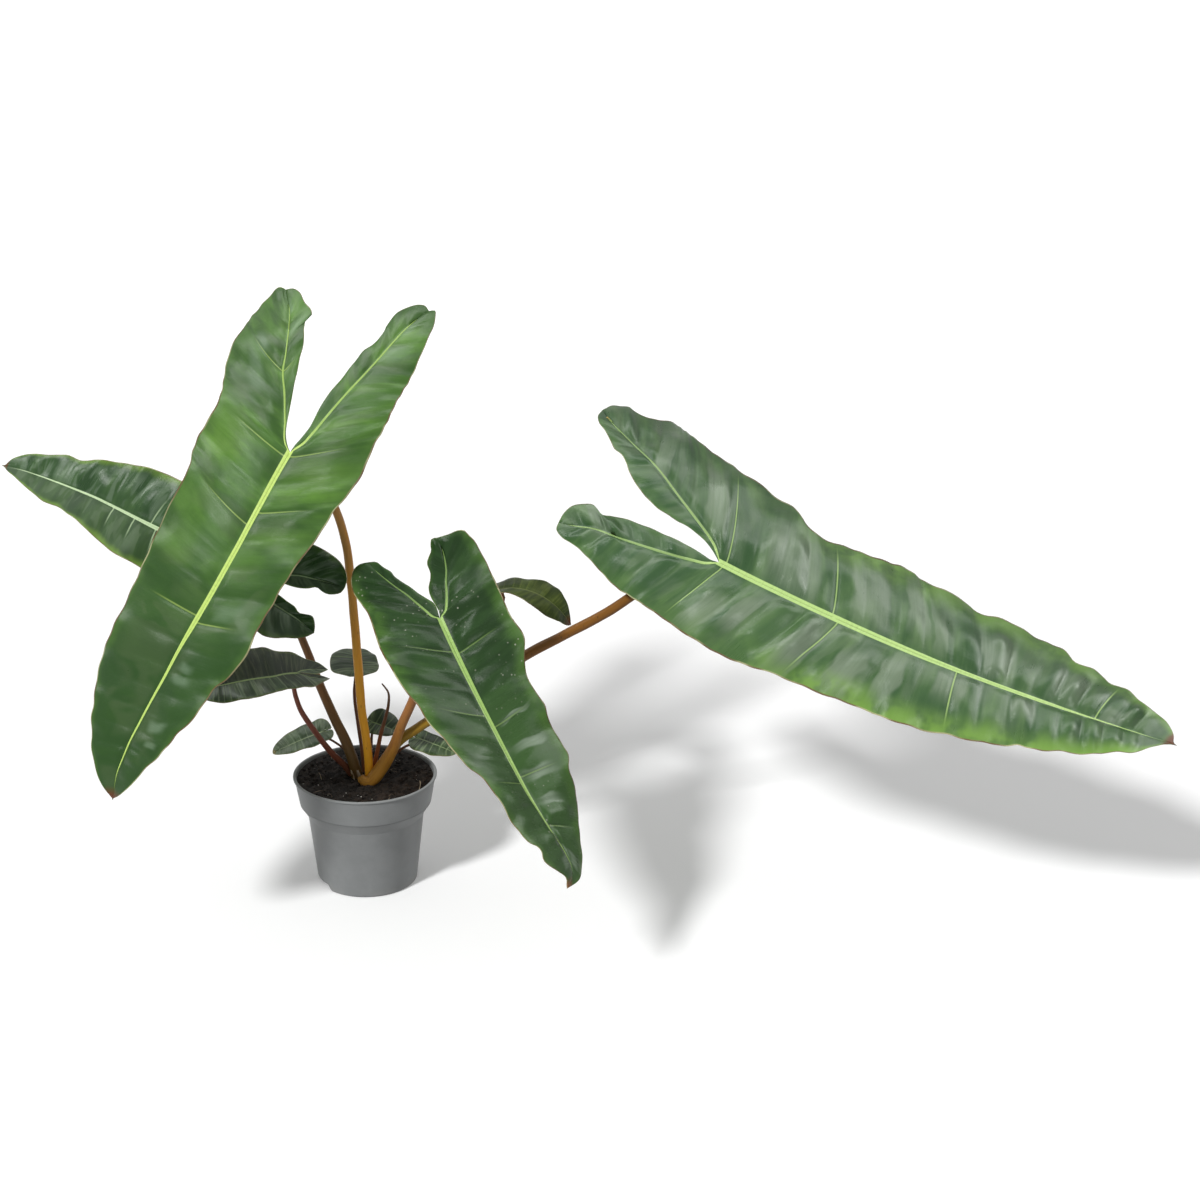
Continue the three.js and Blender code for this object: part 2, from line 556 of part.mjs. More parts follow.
// A leaf stalk's route: its hand-placed points, then up to the underside of the blade's apex.
function stalkRoute(leaf) {
  const up = Z_AXIS.clone().applyQuaternion(leafTurn(leaf));
  const apex = new THREE.Vector3(...leaf.apex);
  const topRadius = leaf.stalkRadii.at(-1);
  return [
    ...leaf.stalk.map((p) => new THREE.Vector3(...p)),
    apex.clone().addScaledVector(up, -4.5 * topRadius),
    apex.clone().addScaledVector(up, -(BLADE_THICKNESS / 2 + GAP)),
  ];
}

const plant = new THREE.Group();
plant.add(namedMesh("pot", potGeometry(), 0x868b8e, 0.5));
plant.add(namedMesh("crown", toGeometry(crownSolid(0)), 0x7a6a45, 0.8));

// Each stalk is fitted round what is already in place, and all of them stand in holes in the soil
const placed = [crownSolid(GAP)];
const fitted = (solid) => placed.reduce((rest, other) => rest.subtract(other), solid);
for (const name of STALK_ORDER) {
  const leaf = LEAVES[name];
  const stalk = fitted(stalkSolid(stalkRoute(leaf), leaf.stalkRadii, 0));
  placed.push(stalkSolid(stalkRoute(leaf), leaf.stalkRadii, GAP));
  plant.add(namedMesh(`petiole_${name}`, toGeometry(stalk), leaf.stalkColour, 0.45));
  const blade = thickened(bladeSurface(leaf), BLADE_THICKNESS);
  plant.add(namedMesh(`blade_${name}`, blade, leaf.colour, 0.35));
}
const spikeRoute = SPIKE.route.map((p) => new THREE.Vector3(...p));
const spike = fitted(stalkSolid(spikeRoute, SPIKE.radii, 0));
plant.add(namedMesh("new_leaf_sheath", toGeometry(spike), SPIKE.colour, 0.5));
plant.add(namedMesh("soil", toGeometry(fitted(toSolid(soilGeometry()))), 0x2b211b, 0.95));

export default plant;
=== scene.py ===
"""Potted philodendron billietiae: fine blades, stalks, soil, pot and their finishes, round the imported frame."""

import logging
import math
import random
from bisect import bisect_right
from dataclasses import dataclass, field
from enum import Enum
from functools import partial
from typing import Callable, Optional, Sequence

import bmesh
import bpy
from mathutils import Matrix, Vector, noise


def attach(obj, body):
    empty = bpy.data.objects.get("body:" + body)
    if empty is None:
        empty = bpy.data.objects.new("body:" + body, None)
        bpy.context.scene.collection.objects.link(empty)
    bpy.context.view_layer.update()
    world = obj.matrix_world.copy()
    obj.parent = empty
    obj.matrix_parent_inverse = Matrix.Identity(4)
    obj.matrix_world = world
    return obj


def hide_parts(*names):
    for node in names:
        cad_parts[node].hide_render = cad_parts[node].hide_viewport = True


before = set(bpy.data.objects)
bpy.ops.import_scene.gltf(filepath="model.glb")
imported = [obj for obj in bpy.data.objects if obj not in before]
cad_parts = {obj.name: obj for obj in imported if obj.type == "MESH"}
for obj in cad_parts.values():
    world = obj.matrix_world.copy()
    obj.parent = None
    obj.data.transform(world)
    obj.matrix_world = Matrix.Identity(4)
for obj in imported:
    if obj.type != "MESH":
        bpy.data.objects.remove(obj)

LOG = logging.getLogger("plant")
MM = 0.001
BODY = "root"
WALK_STEPS = 64
MAP_UNIT = 100.0  # millimetres to one unit of a blade's or a stalk's own map
VEIN_UNIT = 10.0  # millimetres to one unit of the veins' map
VEIN_REACH = 9.0  # the farthest from a marked vein that the map tells apart, in millimetres
MIDLINE = 0.03  # half of the strip in which one half's tone gives way to the other's, in MAP_UNIT
RIB_COLUMNS = 3  # cells across one side of a rib
LEAF_SKIN = 0.35  # how far each face of a blade stands off its middle, in millimetres
TIP_ZONE = (0.66, 0.9)  # where along a blade its fold gives way to the tip's, as shares of its length
CALM_STRIP = 12.0  # the strip beside the midrib in which the margin's waves die out, in millimetres
WIDEST_BAND = 0.45  # the most of a row that a rib may take up
RIB_SWELL = 0.35  # how far a rib's middle stands above its edges, in millimetres
RIB_SINK = 0.2  # how far a rib's edges lie below the blade, in millimetres
LOBE_TROUGH = 1.3  # how far a blade sinks to its lobe's rib, in millimetres
PAST_LAST_VEIN = (24.0, 16.0)  # how far the swelling goes on past the last vein of a lobe and of the tip
FULL_RELIEF = 22.0  # the row length from which the relief is at its full height, in millimetres
FULL_FRILL = 30.0  # the row length from which the margin is fully ruffled, in millimetres
GROOVE_WIDTH = 1.4  # half the width of a vein's groove, in millimetres
SWELL_SIZE = 22.0  # the size of the lumps that vary the swelling between veins, in millimetres
BUCKLE_SIZE = 27.0  # the size of the broad dents, in millimetres
CREASE_SIZE = 8.5  # the size of the fine creases, in millimetres
RUFFLE_PERIOD = 19.0  # from one ruffle of the margin to the next, in millimetres
FOOT_FLARE = 14.0  # how far up a stalk its swollen foot reaches, in millimetres
POT_ROUNDS = ((2, 3, 1.1), (3, 4, 2.0), (5, 8, 1.6), (9, 10, 0.35), (10, 12, 0.7), (13, 15, 1.5))
POT_LIP = (0.0935, 0.0955)  # the heights between which the pot grows paler to its lip, in metres
POT_DUST = 0.010  # how high the dust on its foot reaches, in metres
DUST = (0.34, 0.35, 0.28)  # the flecks on a dusty blade
UNDER_PALE = (0.055, 0.085, 0.040)  # what an underside adds to a blade's light green
UNDER_DULL = (0.040, 0.055, 0.026)  # what it adds to the plain green
UNDER_RIB = (0.33, 0.2, 0.06)  # the browner stretches of the ribs below
Knots = Sequence[Sequence[float]]
Colour = tuple[float, float, float]
Mark = tuple[float, float, float, float, float]
Socket = bpy.types.NodeSocket
Corner = tuple[Vector, dict[str, tuple[float, float]]]
UvMaps = dict[str, bmesh.types.BMLayerItem]


class Side(Enum):
    """The half of a blade, seen from its foot with the upper face towards you."""

    LEFT = 0
    RIGHT = 1

    @property
    def sign(self) -> float:
        """Which way the half runs along the leaf's own Y axis."""
        return 1.0 if self is Side.LEFT else -1.0


def tangent(before: Vector, here: Vector, after: Vector) -> Vector:
    """Works out the direction of a smooth line at one of its knots.

    Args:
        before: the knot before it, or the knot itself at the line's start.
        here: the knot.
        after: the knot after it, or the knot itself at the line's end.

    Returns:
        The direction, about one unit long.
    """
    back, ahead = here - before, after - here
    if back.length < 1e-9:
        return ahead.normalized()
    if ahead.length < 1e-9:
        return back.normalized()
    return (back.normalized() * ahead.length + ahead.normalized() * back.length) / (back.length + ahead.length)


class Line:
    """A smooth line through given points, walked by its length."""

    def __init__(self, knots: Knots, parts: int = 8) -> None:
        """Samples the line.

        Args:
            knots: the points that it passes through, two or three numbers each.
            parts: how many short steps each stretch is cut into.
        """
        points = [Vector(knot) for knot in knots]
        self.points = [points[0]]
        last = len(points) - 1
        for i in range(last):
            start, end = points[i], points[i + 1]
            chord = (end - start).length
            leave = tangent(points[max(i - 1, 0)], start, end) * chord
            arrive = tangent(start, end, points[min(i + 2, last)]) * chord
            for j in range(1, parts + 1):
                s = j / parts
                self.points.append(start * (1 + 2 * s) * (1 - s) ** 2 + leave * s * (1 - s) ** 2
                                   + end * s * s * (3 - 2 * s) - arrive * s * s * (1 - s))
        self.reached = [0.0]
        for a, b in zip(self.points, self.points[1:]):
            self.reached.append(self.reached[-1] + (b - a).length)
        self.length = self.reached[-1]
        self.stops = self.reached[::parts]

    def at(self, distance: float) -> Vector:
        """Finds the point at a distance along the line.

        Args:
            distance: how far from the start; it is held between the ends.

        Returns:
            The point.
        """
        distance = min(max(distance, 0.0), self.length)
        i = min(bisect_right(self.reached, distance), len(self.reached) - 1)
        span = max(self.reached[i] - self.reached[i - 1], 1e-9)
        return self.points[i - 1].lerp(self.points[i], (distance - self.reached[i - 1]) / span)

    def where(self, along: float) -> float:
        """Finds how far along the line its first number passes a value.

        Args:
            along: the value, which the line starts above.

        Returns:
            The distance from the line's start.
        """
        for i, point in enumerate(self.points):
            if point.x <= along:
                return self.reached[i]
        return self.length


class Curve:
    """A smooth value between given (place, value) knots, with no overshoot."""

    def __init__(self, *knots: Sequence[float]) -> None:
        """Keeps the knots in order of place and works out a slope at each."""
        self.knots = sorted((float(a), float(b)) for a, b in knots)
        self.places = [a for a, _ in self.knots]
        chords = [(b[1] - a[1]) / max(b[0] - a[0], 1e-9) for a, b in zip(self.knots, self.knots[1:])]
        self.slopes = [chords[0]] if chords else [0.0]
        for a, b in zip(chords, chords[1:]):
            self.slopes.append(2 * a * b / (a + b) if a * b > 0 else 0.0)
        self.slopes.append(chords[-1] if chords else 0.0)

    def __call__(self, place: float) -> float:
        """Gives the value at a place; past the ends it stays level."""
        if place <= self.places[0]:
            return self.knots[0][1]
        if place >= self.places[-1]:
            return self.knots[-1][1]
        i = bisect_right(self.places, place) - 1
        (x0, y0), (x1, y1) = self.knots[i], self.knots[i + 1]
        span = x1 - x0
        s = (place - x0) / span
        return (y0 * (1 + 2 * s) * (1 - s) ** 2 + self.slopes[i] * span * s * (1 - s) ** 2
                + y1 * s * s * (3 - 2 * s) - self.slopes[i + 1] * span * s * s * (1 - s))


def smooth(low: float, high: float, value: float) -> float:
    """Rises smoothly from 0 at low to 1 at high."""
    s = min(max((value - low) / (high - low), 0.0), 1.0)
    return s * s * (3 - 2 * s)


def lumps(point: Vector, size: float, seed: float = 0.0) -> float:
    """Gives soft noise of about plus or minus one, with lumps of a size in millimetres."""
    return 2 * noise.noise(point / size + Vector((seed, 3.1 * seed, -1.7 * seed)))


def sheet(bm: bmesh.types.BMesh, columns: int, rows: int,
          place: Callable[[int, int], Corner], maps: UvMaps,
          turn_over: bool = False) -> list[bmesh.types.BMVert]:
    """Lays a grid and moves each of its corners to its place.

    Args:
        bm: the mesh that it joins.
        columns: corners across.
        rows: corners along.
        place: gives the place in metres of (row, column), and its spot on each UV map.
        maps: the UV layers by name.
        turn_over: turns the faces to the other side.

    Returns:
        The new corners, row by row.
    """
    made = bmesh.ops.create_grid(bm, x_segments=columns - 1, y_segments=rows - 1, size=0.5)["verts"]
    for number, vertex in enumerate(made):
        spot, marks = place(number // columns, number % columns)
        vertex.co = spot
        for name, mark in marks.items():
            for loop in vertex.link_loops:
                loop[maps[name]].uv = mark
    if turn_over:
        bmesh.ops.reverse_faces(bm, faces=list({face for vertex in made for face in vertex.link_faces}))
    return made


def finish_piece(name: str, bm: bmesh.types.BMesh, materials: Sequence[bpy.types.Material],
                 nodes: Sequence[str] = ()) -> bpy.types.Object:
    """Turns a built mesh into a piece of the plant.

    Args:
        name: the piece's name.
        bm: its mesh, in metres, which is freed.
        materials: its materials, in the order of the faces' indices.
        nodes: the CAD nodes that it stands for.

    Returns:
        The new object.
    """
    for face in bm.faces:
        face.smooth = True
    mesh = bpy.data.meshes.new(name)
    bm.to_mesh(mesh)
    bm.free()
    piece = bpy.data.objects.new(name, mesh)
    for material in materials:
        mesh.materials.append(material)
    bpy.context.scene.collection.objects.link(piece)
    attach(piece, BODY)
    if nodes:
        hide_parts(*nodes)
    LOG.info("%s: %d faces", name, len(mesh.polygons))
    return piece


class Graph:
    """Builds one node material, a node at a time."""

    def __init__(self, name: str) -> None:
        """Starts the material with an empty node tree."""
        self.material = bpy.data.materials.new(name)
        self.material.use_nodes = True
        self.tree = self.material.node_tree
        self.tree.nodes.clear()

    def add(self, kind: str, inputs: Optional[dict[str, object]] = None, **settings: object) -> bpy.types.Node:
        """Adds a node, sets its properties, and sets or links its inputs.

        Args:
            kind: the node's type, without ShaderNode.
            inputs: values or outputs, by the input's name or number.
            settings: the node's own properties.

        Returns:
            The node.
        """
        made = self.tree.nodes.new("ShaderNode" + kind)
        for key, value in settings.items():
            setattr(made, key, value)
        for key, value in (inputs or {}).items():
            socket = made.inputs[key]
            if isinstance(value, Socket):
                self.tree.links.new(value, socket)
            else:
                socket.default_value = value
        return made

    def spot(self) -> Socket:
        """The place on the object, in metres."""
        return self.add("TexCoord").outputs["Object"]

    def chart(self, name: str) -> tuple[Socket, Socket, Socket]:
        """The two numbers of a UV map, and both as a vector."""
        source = self.add("UVMap", uv_map=name).outputs["UV"]
        apart = self.add("SeparateXYZ", {"Vector": source})
        return apart.outputs["X"], apart.outputs["Y"], source

    def scaled(self, vector: Socket, by: Sequence[float], shift: Sequence[float] = (0, 0, 0),
               ) -> Socket:
        """A vector stretched and shifted."""
        made = self.add("Mapping", {"Vector": vector, "Scale": tuple(by), "Location": tuple(shift)})
        return made.outputs["Vector"]

    def noise(self, vector: Socket, scale: float, detail: float = 3.0, rough: float = 0.5,
              bend: float = 0.0) -> Socket:
        """Noise from 0 to 1."""
        made = self.add("TexNoise", {"Vector": vector, "Scale": scale, "Detail": detail, "Roughness": rough,
                                     "Distortion": bend})
        return made.outputs["Fac"]

    def cells(self, vector: Socket, scale: float) -> Socket:
        """The distance to the nearest of many scattered points."""
        return self.add("TexVoronoi", {"Vector": vector, "Scale": scale}).outputs["Distance"]

    def sum(self, kind: str, first: object, second: object = 0.0) -> Socket:
        """One step of arithmetic, such as SUBTRACT or ABSOLUTE."""
        return self.add("Math", {0: first, 1: second}, operation=kind).outputs["Value"]

    def plus(self, first: object, second: object) -> Socket:
        """Adds two values."""
        return self.sum("ADD", first, second)

    def times(self, first: object, second: object) -> Socket:
        """Multiplies two values."""
        return self.sum("MULTIPLY", first, second)

    def rise(self, value: Socket, low: float, high: float, start: float = 0.0,
             end: float = 1.0) -> Socket:
        """Goes smoothly from start to end while a value goes from low to high."""
        if low > high:
            low, high, start, end = high, low, end, start
        made = self.add("MapRange", {"Value": value, "From Min": low, "From Max": high, "To Min": start,
                                     "To Max": end}, interpolation_type="SMOOTHSTEP")
        return made.outputs["Result"]

    def mix(self, share: object, first: object, second: object, kind: str = "MIX") -> Socket:
        """Mixes two colours."""
        made = self.add("Mix", {0: share}, data_type="RGBA", blend_type=kind, clamp_factor=True)
        for number, value in ((6, first), (7, second)):
            if isinstance(value, Socket):
                self.tree.links.new(value, made.inputs[number])
            else:
                made.inputs[number].default_value = (*value, 1.0)
        return made.outputs[2]

    def tint(self, under: Socket, tone: object, share: object, strength: float) -> Socket:
        """Lays a tone over a colour, as far as a share times a strength."""
        return self.mix(self.times(share, strength), under, tone)

    def bump(self, height: Socket, strength: float, distance: float,
             under: Optional[Socket] = None) -> Socket:
        """Roughens the surface by a height, on top of another bump if there is one."""
        inputs: dict[str, object] = {"Height": height, "Strength": strength, "Distance": distance}
        if under is not None:
            inputs["Normal"] = under
        return self.add("Bump", inputs).outputs["Normal"]

    def close(self, colour: object, roughness: object, normal: Optional[Socket] = None,
              **constants: float) -> bpy.types.Material:
        """Ends the material with its shader.

        Args:
            colour: the base colour.
            roughness: the roughness.
            normal: the bumped normal.
            constants: other inputs of the shader, with _ for a space.

        Returns:
            The material.
        """
        shader = self.add("BsdfPrincipled")
        values: dict[str, object] = {"Base Color": colour, "Roughness": roughness}
        if normal is not None:
            values["Normal"] = normal
        values.update({key.replace("_", " "): value for key, value in constants.items()})
        for key, value in values.items():
            socket = shader.inputs[key]
            if isinstance(value, Socket):
                self.tree.links.new(value, socket)
            elif isinstance(value, tuple):
                socket.default_value = (*value, 1.0)[:4]
            else:
                socket.default_value = value
        self.add("OutputMaterial", {"Surface": shader.outputs["BSDF"]})
        return self.material


@dataclass(frozen=True)
class UpperMaps:
    """The maps and noises that one blade's upper face is coloured from.

    Attributes:
        along: the place along the midrib, in units of 100 mm, below 0 in the lobes.
        across: how far out it is, in units of 100 mm, above 0 on the left half.
        chart: both of them as one vector.
        vein: the distance to the nearest marked vein, in centimetres.
        share: how far across the half, from 0 at the rib's band to 1 at the margin.
        spot: the place on the object, in metres.
        bands: broad noise, drawn out from the midrib to the margin.
        fine: narrow noise, drawn out the same way.
        cloud: softer broad noise.
        patch: noise with spots of about 3 cm.
        grain: the finest noise.
    """

    along: Socket
    across: Socket
    chart: Socket
    vein: Socket
    share: Socket
    spot: Socket
    bands: Socket
    fine: Socket
    cloud: Socket
    patch: Socket
    grain: Socket


@dataclass(frozen=True)
class BladeFinish:
    """The colours and gloss of one blade: waxy green above, matt and paler below.

    Attributes:
        name: the materials' first name.
        deep: the darkest green.
        mid: the plain green.
        light: the lightest green.
        rib: the colour of the midrib and the marked veins.
        margin: the lighter colour towards the margin.
        margin_zone: how wide that zone is, as a share of the half.
        margin_share: how strong it is.
        vein_share: how strong the marked veins are.
        streaks: how strong the narrow streaks are.
        bands: how many broad bands come on 100 mm.
        gloss: the roughness.
        shine: the level of the mirror light.
        dust: how strong the pale flecks are.
        length: the blade's length in units of 100 mm.
        tip: the dry tip's colour.
        tip_size: the dry tip's length, in the same units.
        margin_left: how strong the margin zone is on the left half.
        dim: how far one half is multiplied by shift, as painted light or painted shade on it: above 0 the right half,
            below 0 the left.
        shift: what that half's colour is multiplied by: above 1 painted light, below 1 painted shade.
        sheen: the tone of the broad soft blots of painted sheen, if there are any.
        sheen_share: how strong they are.
        sheen_scale: how often they come along and across.
        glint: the tone of the painted highlights and sheen, soft bands along the veins.
        glints: their places, as along, across, half length, half width and strength.
        glint_edge: where a band's soft edge ends and begins, in half lengths.
        wash: the tone of the broad areas of painted light.
        washes: their places, given the same way.
        margin_from: where the margin zone begins, along the blade.
        vein_reach: how far out the marked veins run, as a share of the half.
        end: the tone of the far end, if it differs.
        edge: the colour of the cut edge.
        pale_edge: the colour of its lighter stretches.
    """

    name: str
    deep: Colour
    mid: Colour
    light: Colour
    rib: Colour
    margin: Colour
    margin_zone: float = 0.16
    margin_share: float = 0.5
    vein_share: float = 0.5
    streaks: float = 0.5
    bands: float = 7.0
    gloss: float = 0.34
    shine: float = 0.3
    dust: float = 0.0
    length: float = 3.0
    tip: Colour = (0.10, 0.035, 0.014)
    tip_size: float = 0.06
    margin_left: float = 1.0
    dim: float = 0.0
    shift: Colour = (0.45, 0.45, 0.45)
    sheen: Optional[Colour] = None
    sheen_share: float = 0.5
    sheen_scale: tuple[float, float] = (7.0, 2.6)
    glint: Colour = (0.22, 0.28, 0.20)
    glints: tuple[Mark, ...] = ()
    glint_edge: tuple[float, float] = (1.3, 0.3)
    wash: Colour = (0.13, 0.27, 0.035)
    washes: tuple[Mark, ...] = ()
    margin_from: float = -1.0
    vein_reach: float = 0.4
    end: Optional[Colour] = None
    edge: Colour = (0.15, 0.08, 0.035)
    pale_edge: Colour = (0.42, 0.42, 0.22)

    def maps(self, g: Graph) -> UpperMaps:
        """Draws the maps and noises of the upper face."""
        along, across, chart = g.chart("along_blade")
        vein, share, _ = g.chart("veins")
        spot = g.spot()
        return UpperMaps(
            along, across, chart, vein, share, spot,
            bands=g.noise(g.scaled(chart, (self.bands, 0.9, 1.0)), 1.0, 3.0, 0.5, 0.25),
            fine=g.noise(g.scaled(chart, (46.0, 2.4, 1.0)), 1.0, 3.0, 0.6, 0.1),
            cloud=g.noise(g.scaled(chart, (5.2, 1.7, 1.0), (3.7, 1.3, 0.0)), 1.0, 3.0, 0.55, 0.35),
            patch=g.noise(spot, 34.0, 3.0, 0.6),
            grain=g.noise(spot, 420.0, 3.0, 0.6))

    def greens(self, g: Graph, m: UpperMaps) -> Socket:
        """Mixes the three greens in bands, patches and streaks."""
        colour = g.mix(g.rise(m.bands, 0.4, 0.62), self.deep, self.mid)
        lighter = g.times(g.rise(m.cloud, 0.46, 0.7), g.rise(m.bands, 0.35, 0.6, 0.25, 0.9))
        colour = g.mix(lighter, colour, self.light)
        colour = g.mix(g.rise(m.patch, 0.5, 0.3, 0.0, 0.35), colour, self.deep)
        colour = g.tint(colour, self.light, g.rise(m.fine, 0.5, 0.66), 0.3 * self.streaks)
        return g.tint(colour, self.deep, g.rise(m.fine, 0.5, 0.34), 0.4 * self.streaks)

    def tone_end(self, g: Graph, m: UpperMaps, colour: Socket) -> Socket:
        """Leads the far part of the blade over to its own tone, along a cloudy line."""
        far = g.plus(m.along, g.times(g.sum("SUBTRACT", m.cloud, 0.5), 1.2))
        return g.mix(g.rise(far, 0.15 * self.length, 0.7 * self.length, 0.0, 0.88), colour, self.end)

    def lay_sheen(self, g: Graph, m: UpperMaps, colour: Socket) -> Socket:
        """Lays broad soft blots of painted sheen, and darker blots of painted shade between them."""
        blot = g.noise(g.scaled(m.chart, (*self.sheen_scale, 1.0), (9.1, 4.7, 0.0)), 1.0, 2.0, 0.5, 0.6)
        inner = g.times(g.rise(m.share, 0.0, 0.08), g.rise(m.share, 1.0, 0.6))
        # The lit blots are painted sheen, the unlit ones painted shade.
        lit = g.times(g.rise(blot, 0.49, 0.6), inner)
        unlit = g.times(g.rise(blot, 0.48, 0.38), inner)
        colour = g.tint(colour, self.sheen, lit, self.sheen_share)
        return g.tint(colour, self.deep, unlit, self.sheen_share)

    def lay_bands(self, g: Graph, m: UpperMaps, colour: Socket) -> Socket:
        """Lays the broad areas of painted light and the soft bands of painted highlight and sheen, on a chart that is
        bent a little.
        """
        bent = g.add("TexNoise", {"Vector": m.chart, "Scale": 4.0, "Detail": 1.0}).outputs["Color"]
        bent = g.add("VectorMath", {0: bent, 1: (0.12, 0.2, 0.0), 2: (-0.06, -0.1, 0.0)},
                     operation="MULTIPLY_ADD").outputs["Vector"]
        bent = g.add("VectorMath", {0: bent, 1: m.chart}, operation="ADD").outputs["Vector"]
        # The fine streaks break up the painted light and sheen a little.
        sheen_streaks = g.rise(m.fine, 0.3, 0.6, 0.8, 1.0)
        marks = [(self.wash, *mark) for mark in self.washes] + [(self.glint, *mark) for mark in self.glints]
        for tone, place, out, long, wide, strength in marks:
            away = g.scaled(bent, (1 / long, 1 / wide, 0.0), (-place / long, -out / wide, 0.0))
            away = g.add("SeparateXYZ", {"Vector": away})
            beside, beyond = (g.sum("ABSOLUTE", away.outputs[axis]) for axis in ("X", "Y"))
            edge = self.glint_edge if tone == self.glint else (1.4, 0.1)
            lit = g.times(g.rise(beside, *edge), g.rise(beyond, 1.3, 0.2))
            colour = g.tint(colour, tone, g.times(lit, sheen_streaks), strength)
        return colour

    def draw_veins(self, g: Graph, m: UpperMaps, colour: Socket) -> Socket:
        """Draws the marked veins, each with painted shade along its fold."""
        reach = self.vein_reach
        line = g.times(g.rise(m.vein, 0.085, 0.03), g.rise(m.share, reach + 0.25, reach - 0.25))
        # shade is painted shade in the fold beside each marked vein.
        shade = g.times(g.rise(m.vein, 0.3, 0.06), g.rise(m.share, reach + 0.4, reach - 0.2))
        return g.tint(g.tint(colour, self.deep, shade, 0.45), self.rib, line, self.vein_share)

    def draw_margin(self, g: Graph, m: UpperMaps, colour: Socket) -> Socket:
        """Lightens the zone along the margin, with an uneven inner edge."""
        wander = g.plus(m.share, g.times(g.sum("SUBTRACT", m.bands, 0.5), 0.3))
        by_side = g.rise(m.across, -MIDLINE, MIDLINE, 1.0, self.margin_left)
        zone = g.times(g.rise(wander, 1.0 - self.margin_zone, 1.0), by_side)
        zone = g.times(zone, g.rise(m.along, self.margin_from, self.margin_from + 1.0, 0.15, 1.0))
        zone = g.times(zone, g.rise(m.patch, 0.36, 0.52, 0.4, 1.0))
        return g.tint(colour, self.margin, zone, self.margin_share)

    def draw_ribs(self, g: Graph, m: UpperMaps, colour: Socket) -> Socket:
        """Draws the streaked midrib and lobe ribs, and fades them out in the lobes and at the tip."""
        ridge = g.times(g.rise(m.share, 0.0, -0.16), g.rise(m.along, self.length, self.length * 0.9))
        rib = g.mix(g.rise(m.fine, 0.4, 0.8, 0.0, 0.45), self.rib, tuple(0.6 * c for c in self.rib))
        rib = g.mix(g.rise(m.along, 0.02, -0.35, 0.0, 0.55), rib, self.light)
        return g.mix(ridge, colour, rib)

    def draw_edge(self, g: Graph, m: UpperMaps, colour: Socket) -> Socket:
        """Draws the thin coloured edge and the dry tip."""
        pale = g.mix(g.rise(m.bands, 0.35, 0.6), self.pale_edge, self.edge)
        colour = g.mix(g.rise(m.share, 0.975, 0.992), colour, pale)
        end = g.plus(m.along, g.times(g.sum("SUBTRACT", m.patch, 0.5), 0.08))
        dry = g.rise(end, self.length - 1.6 * self.tip_size, self.length - 0.4 * self.tip_size)
        return g.mix(dry, colour, self.tip)

    def upper(self) -> bpy.types.Material:
        """Builds the upper face: bands along the veins, painted light, sheen, highlights and shade, pale ribs, a
        lighter margin and a brown tip.
        """
        g = Graph(self.name + "_upper")
        m = self.maps(g)
        colour = self.greens(g, m)
        if self.end:
            colour = self.tone_end(g, m, colour)
        if self.sheen:
            colour = self.lay_sheen(g, m, colour)
        if self.glints:
            colour = self.lay_bands(g, m, colour)
        # One half is multiplied by shift: painted light where shift is above 1, painted shade where it is below 1.
        toned = g.rise(m.across, -MIDLINE, MIDLINE, max(self.dim, 0.0), max(-self.dim, 0.0))
        colour = g.mix(toned, colour, self.shift, "MULTIPLY")
        colour = self.draw_veins(g, m, colour)
        colour = self.draw_margin(g, m, colour)
        if self.dust:
            flecks = g.times(g.rise(g.cells(m.spot, 210.0), 0.2, 0.08), g.rise(m.patch, 0.5, 0.68))
            colour = g.tint(colour, DUST, flecks, self.dust)
        colour = self.draw_ribs(g, m, colour)
        colour = self.draw_edge(g, m, colour)
        gloss = g.plus(g.times(m.patch, 0.2), self.gloss - 0.1)
        gloss = g.plus(gloss, g.times(m.fine, 0.06))
        gloss = g.plus(gloss, g.times(toned, 0.35 if self.shift[0] < 1.0 else 0.0))
        normal = g.bump(m.fine, 0.08 + 0.2 * self.streaks, 0.0006)
        normal = g.bump(g.noise(m.spot, 55.0, 3.0, 0.55), 0.16, 0.0022, normal)
        normal = g.bump(g.noise(m.spot, 130.0, 3.0, 0.6), 0.12, 0.0010, normal)
        normal = g.bump(m.grain, 0.1, 0.0003, normal)
        return g.close(colour, gloss, normal, Specular_IOR_Level=self.shine)

    def under(self) -> bpy.types.Material:
        """Builds the underside: paler, matt, with raised veins."""
        g = Graph(self.name + "_under")
        along, _, chart = g.chart("along_blade")
        vein, share, _ = g.chart("veins")
        spot = g.spot()
        bands = g.noise(g.scaled(chart, (9.0, 1.4, 1.0)), 1.0, 4.0, 0.6, 0.2)
        cloud = g.noise(spot, 22.0, 4.0, 0.6)
        pale = tuple(0.7 * c + d for c, d in zip(self.light, UNDER_PALE))
        dull = tuple(0.9 * c + d for c, d in zip(self.mid, UNDER_DULL))
        colour = g.mix(g.rise(bands, 0.35, 0.65), dull, pale)
        colour = g.tint(colour, pale, g.rise(cloud, 0.45, 0.7), 0.5)
        line = g.times(g.rise(vein, 0.16, 0.03), g.rise(share, 0.95, 0.3))
        colour = g.tint(colour, self.rib, line, 0.6)
        ridge = g.times(g.rise(share, 0.05, -0.3), g.rise(along, self.length, self.length * 0.8))
        colour = g.mix(ridge, colour, g.mix(g.rise(bands, 0.3, 0.7), self.rib, UNDER_RIB))
        colour = g.mix(g.rise(share, 0.97, 0.99), colour, self.edge)
        roughness = g.plus(g.times(cloud, 0.2), 0.5)
        normal = g.bump(line, 0.4, 0.0007)
        normal = g.bump(g.noise(spot, 240.0, 3.0, 0.6), 0.25, 0.0004, normal)
        return g.close(colour, roughness, normal, Specular_IOR_Level=0.35)

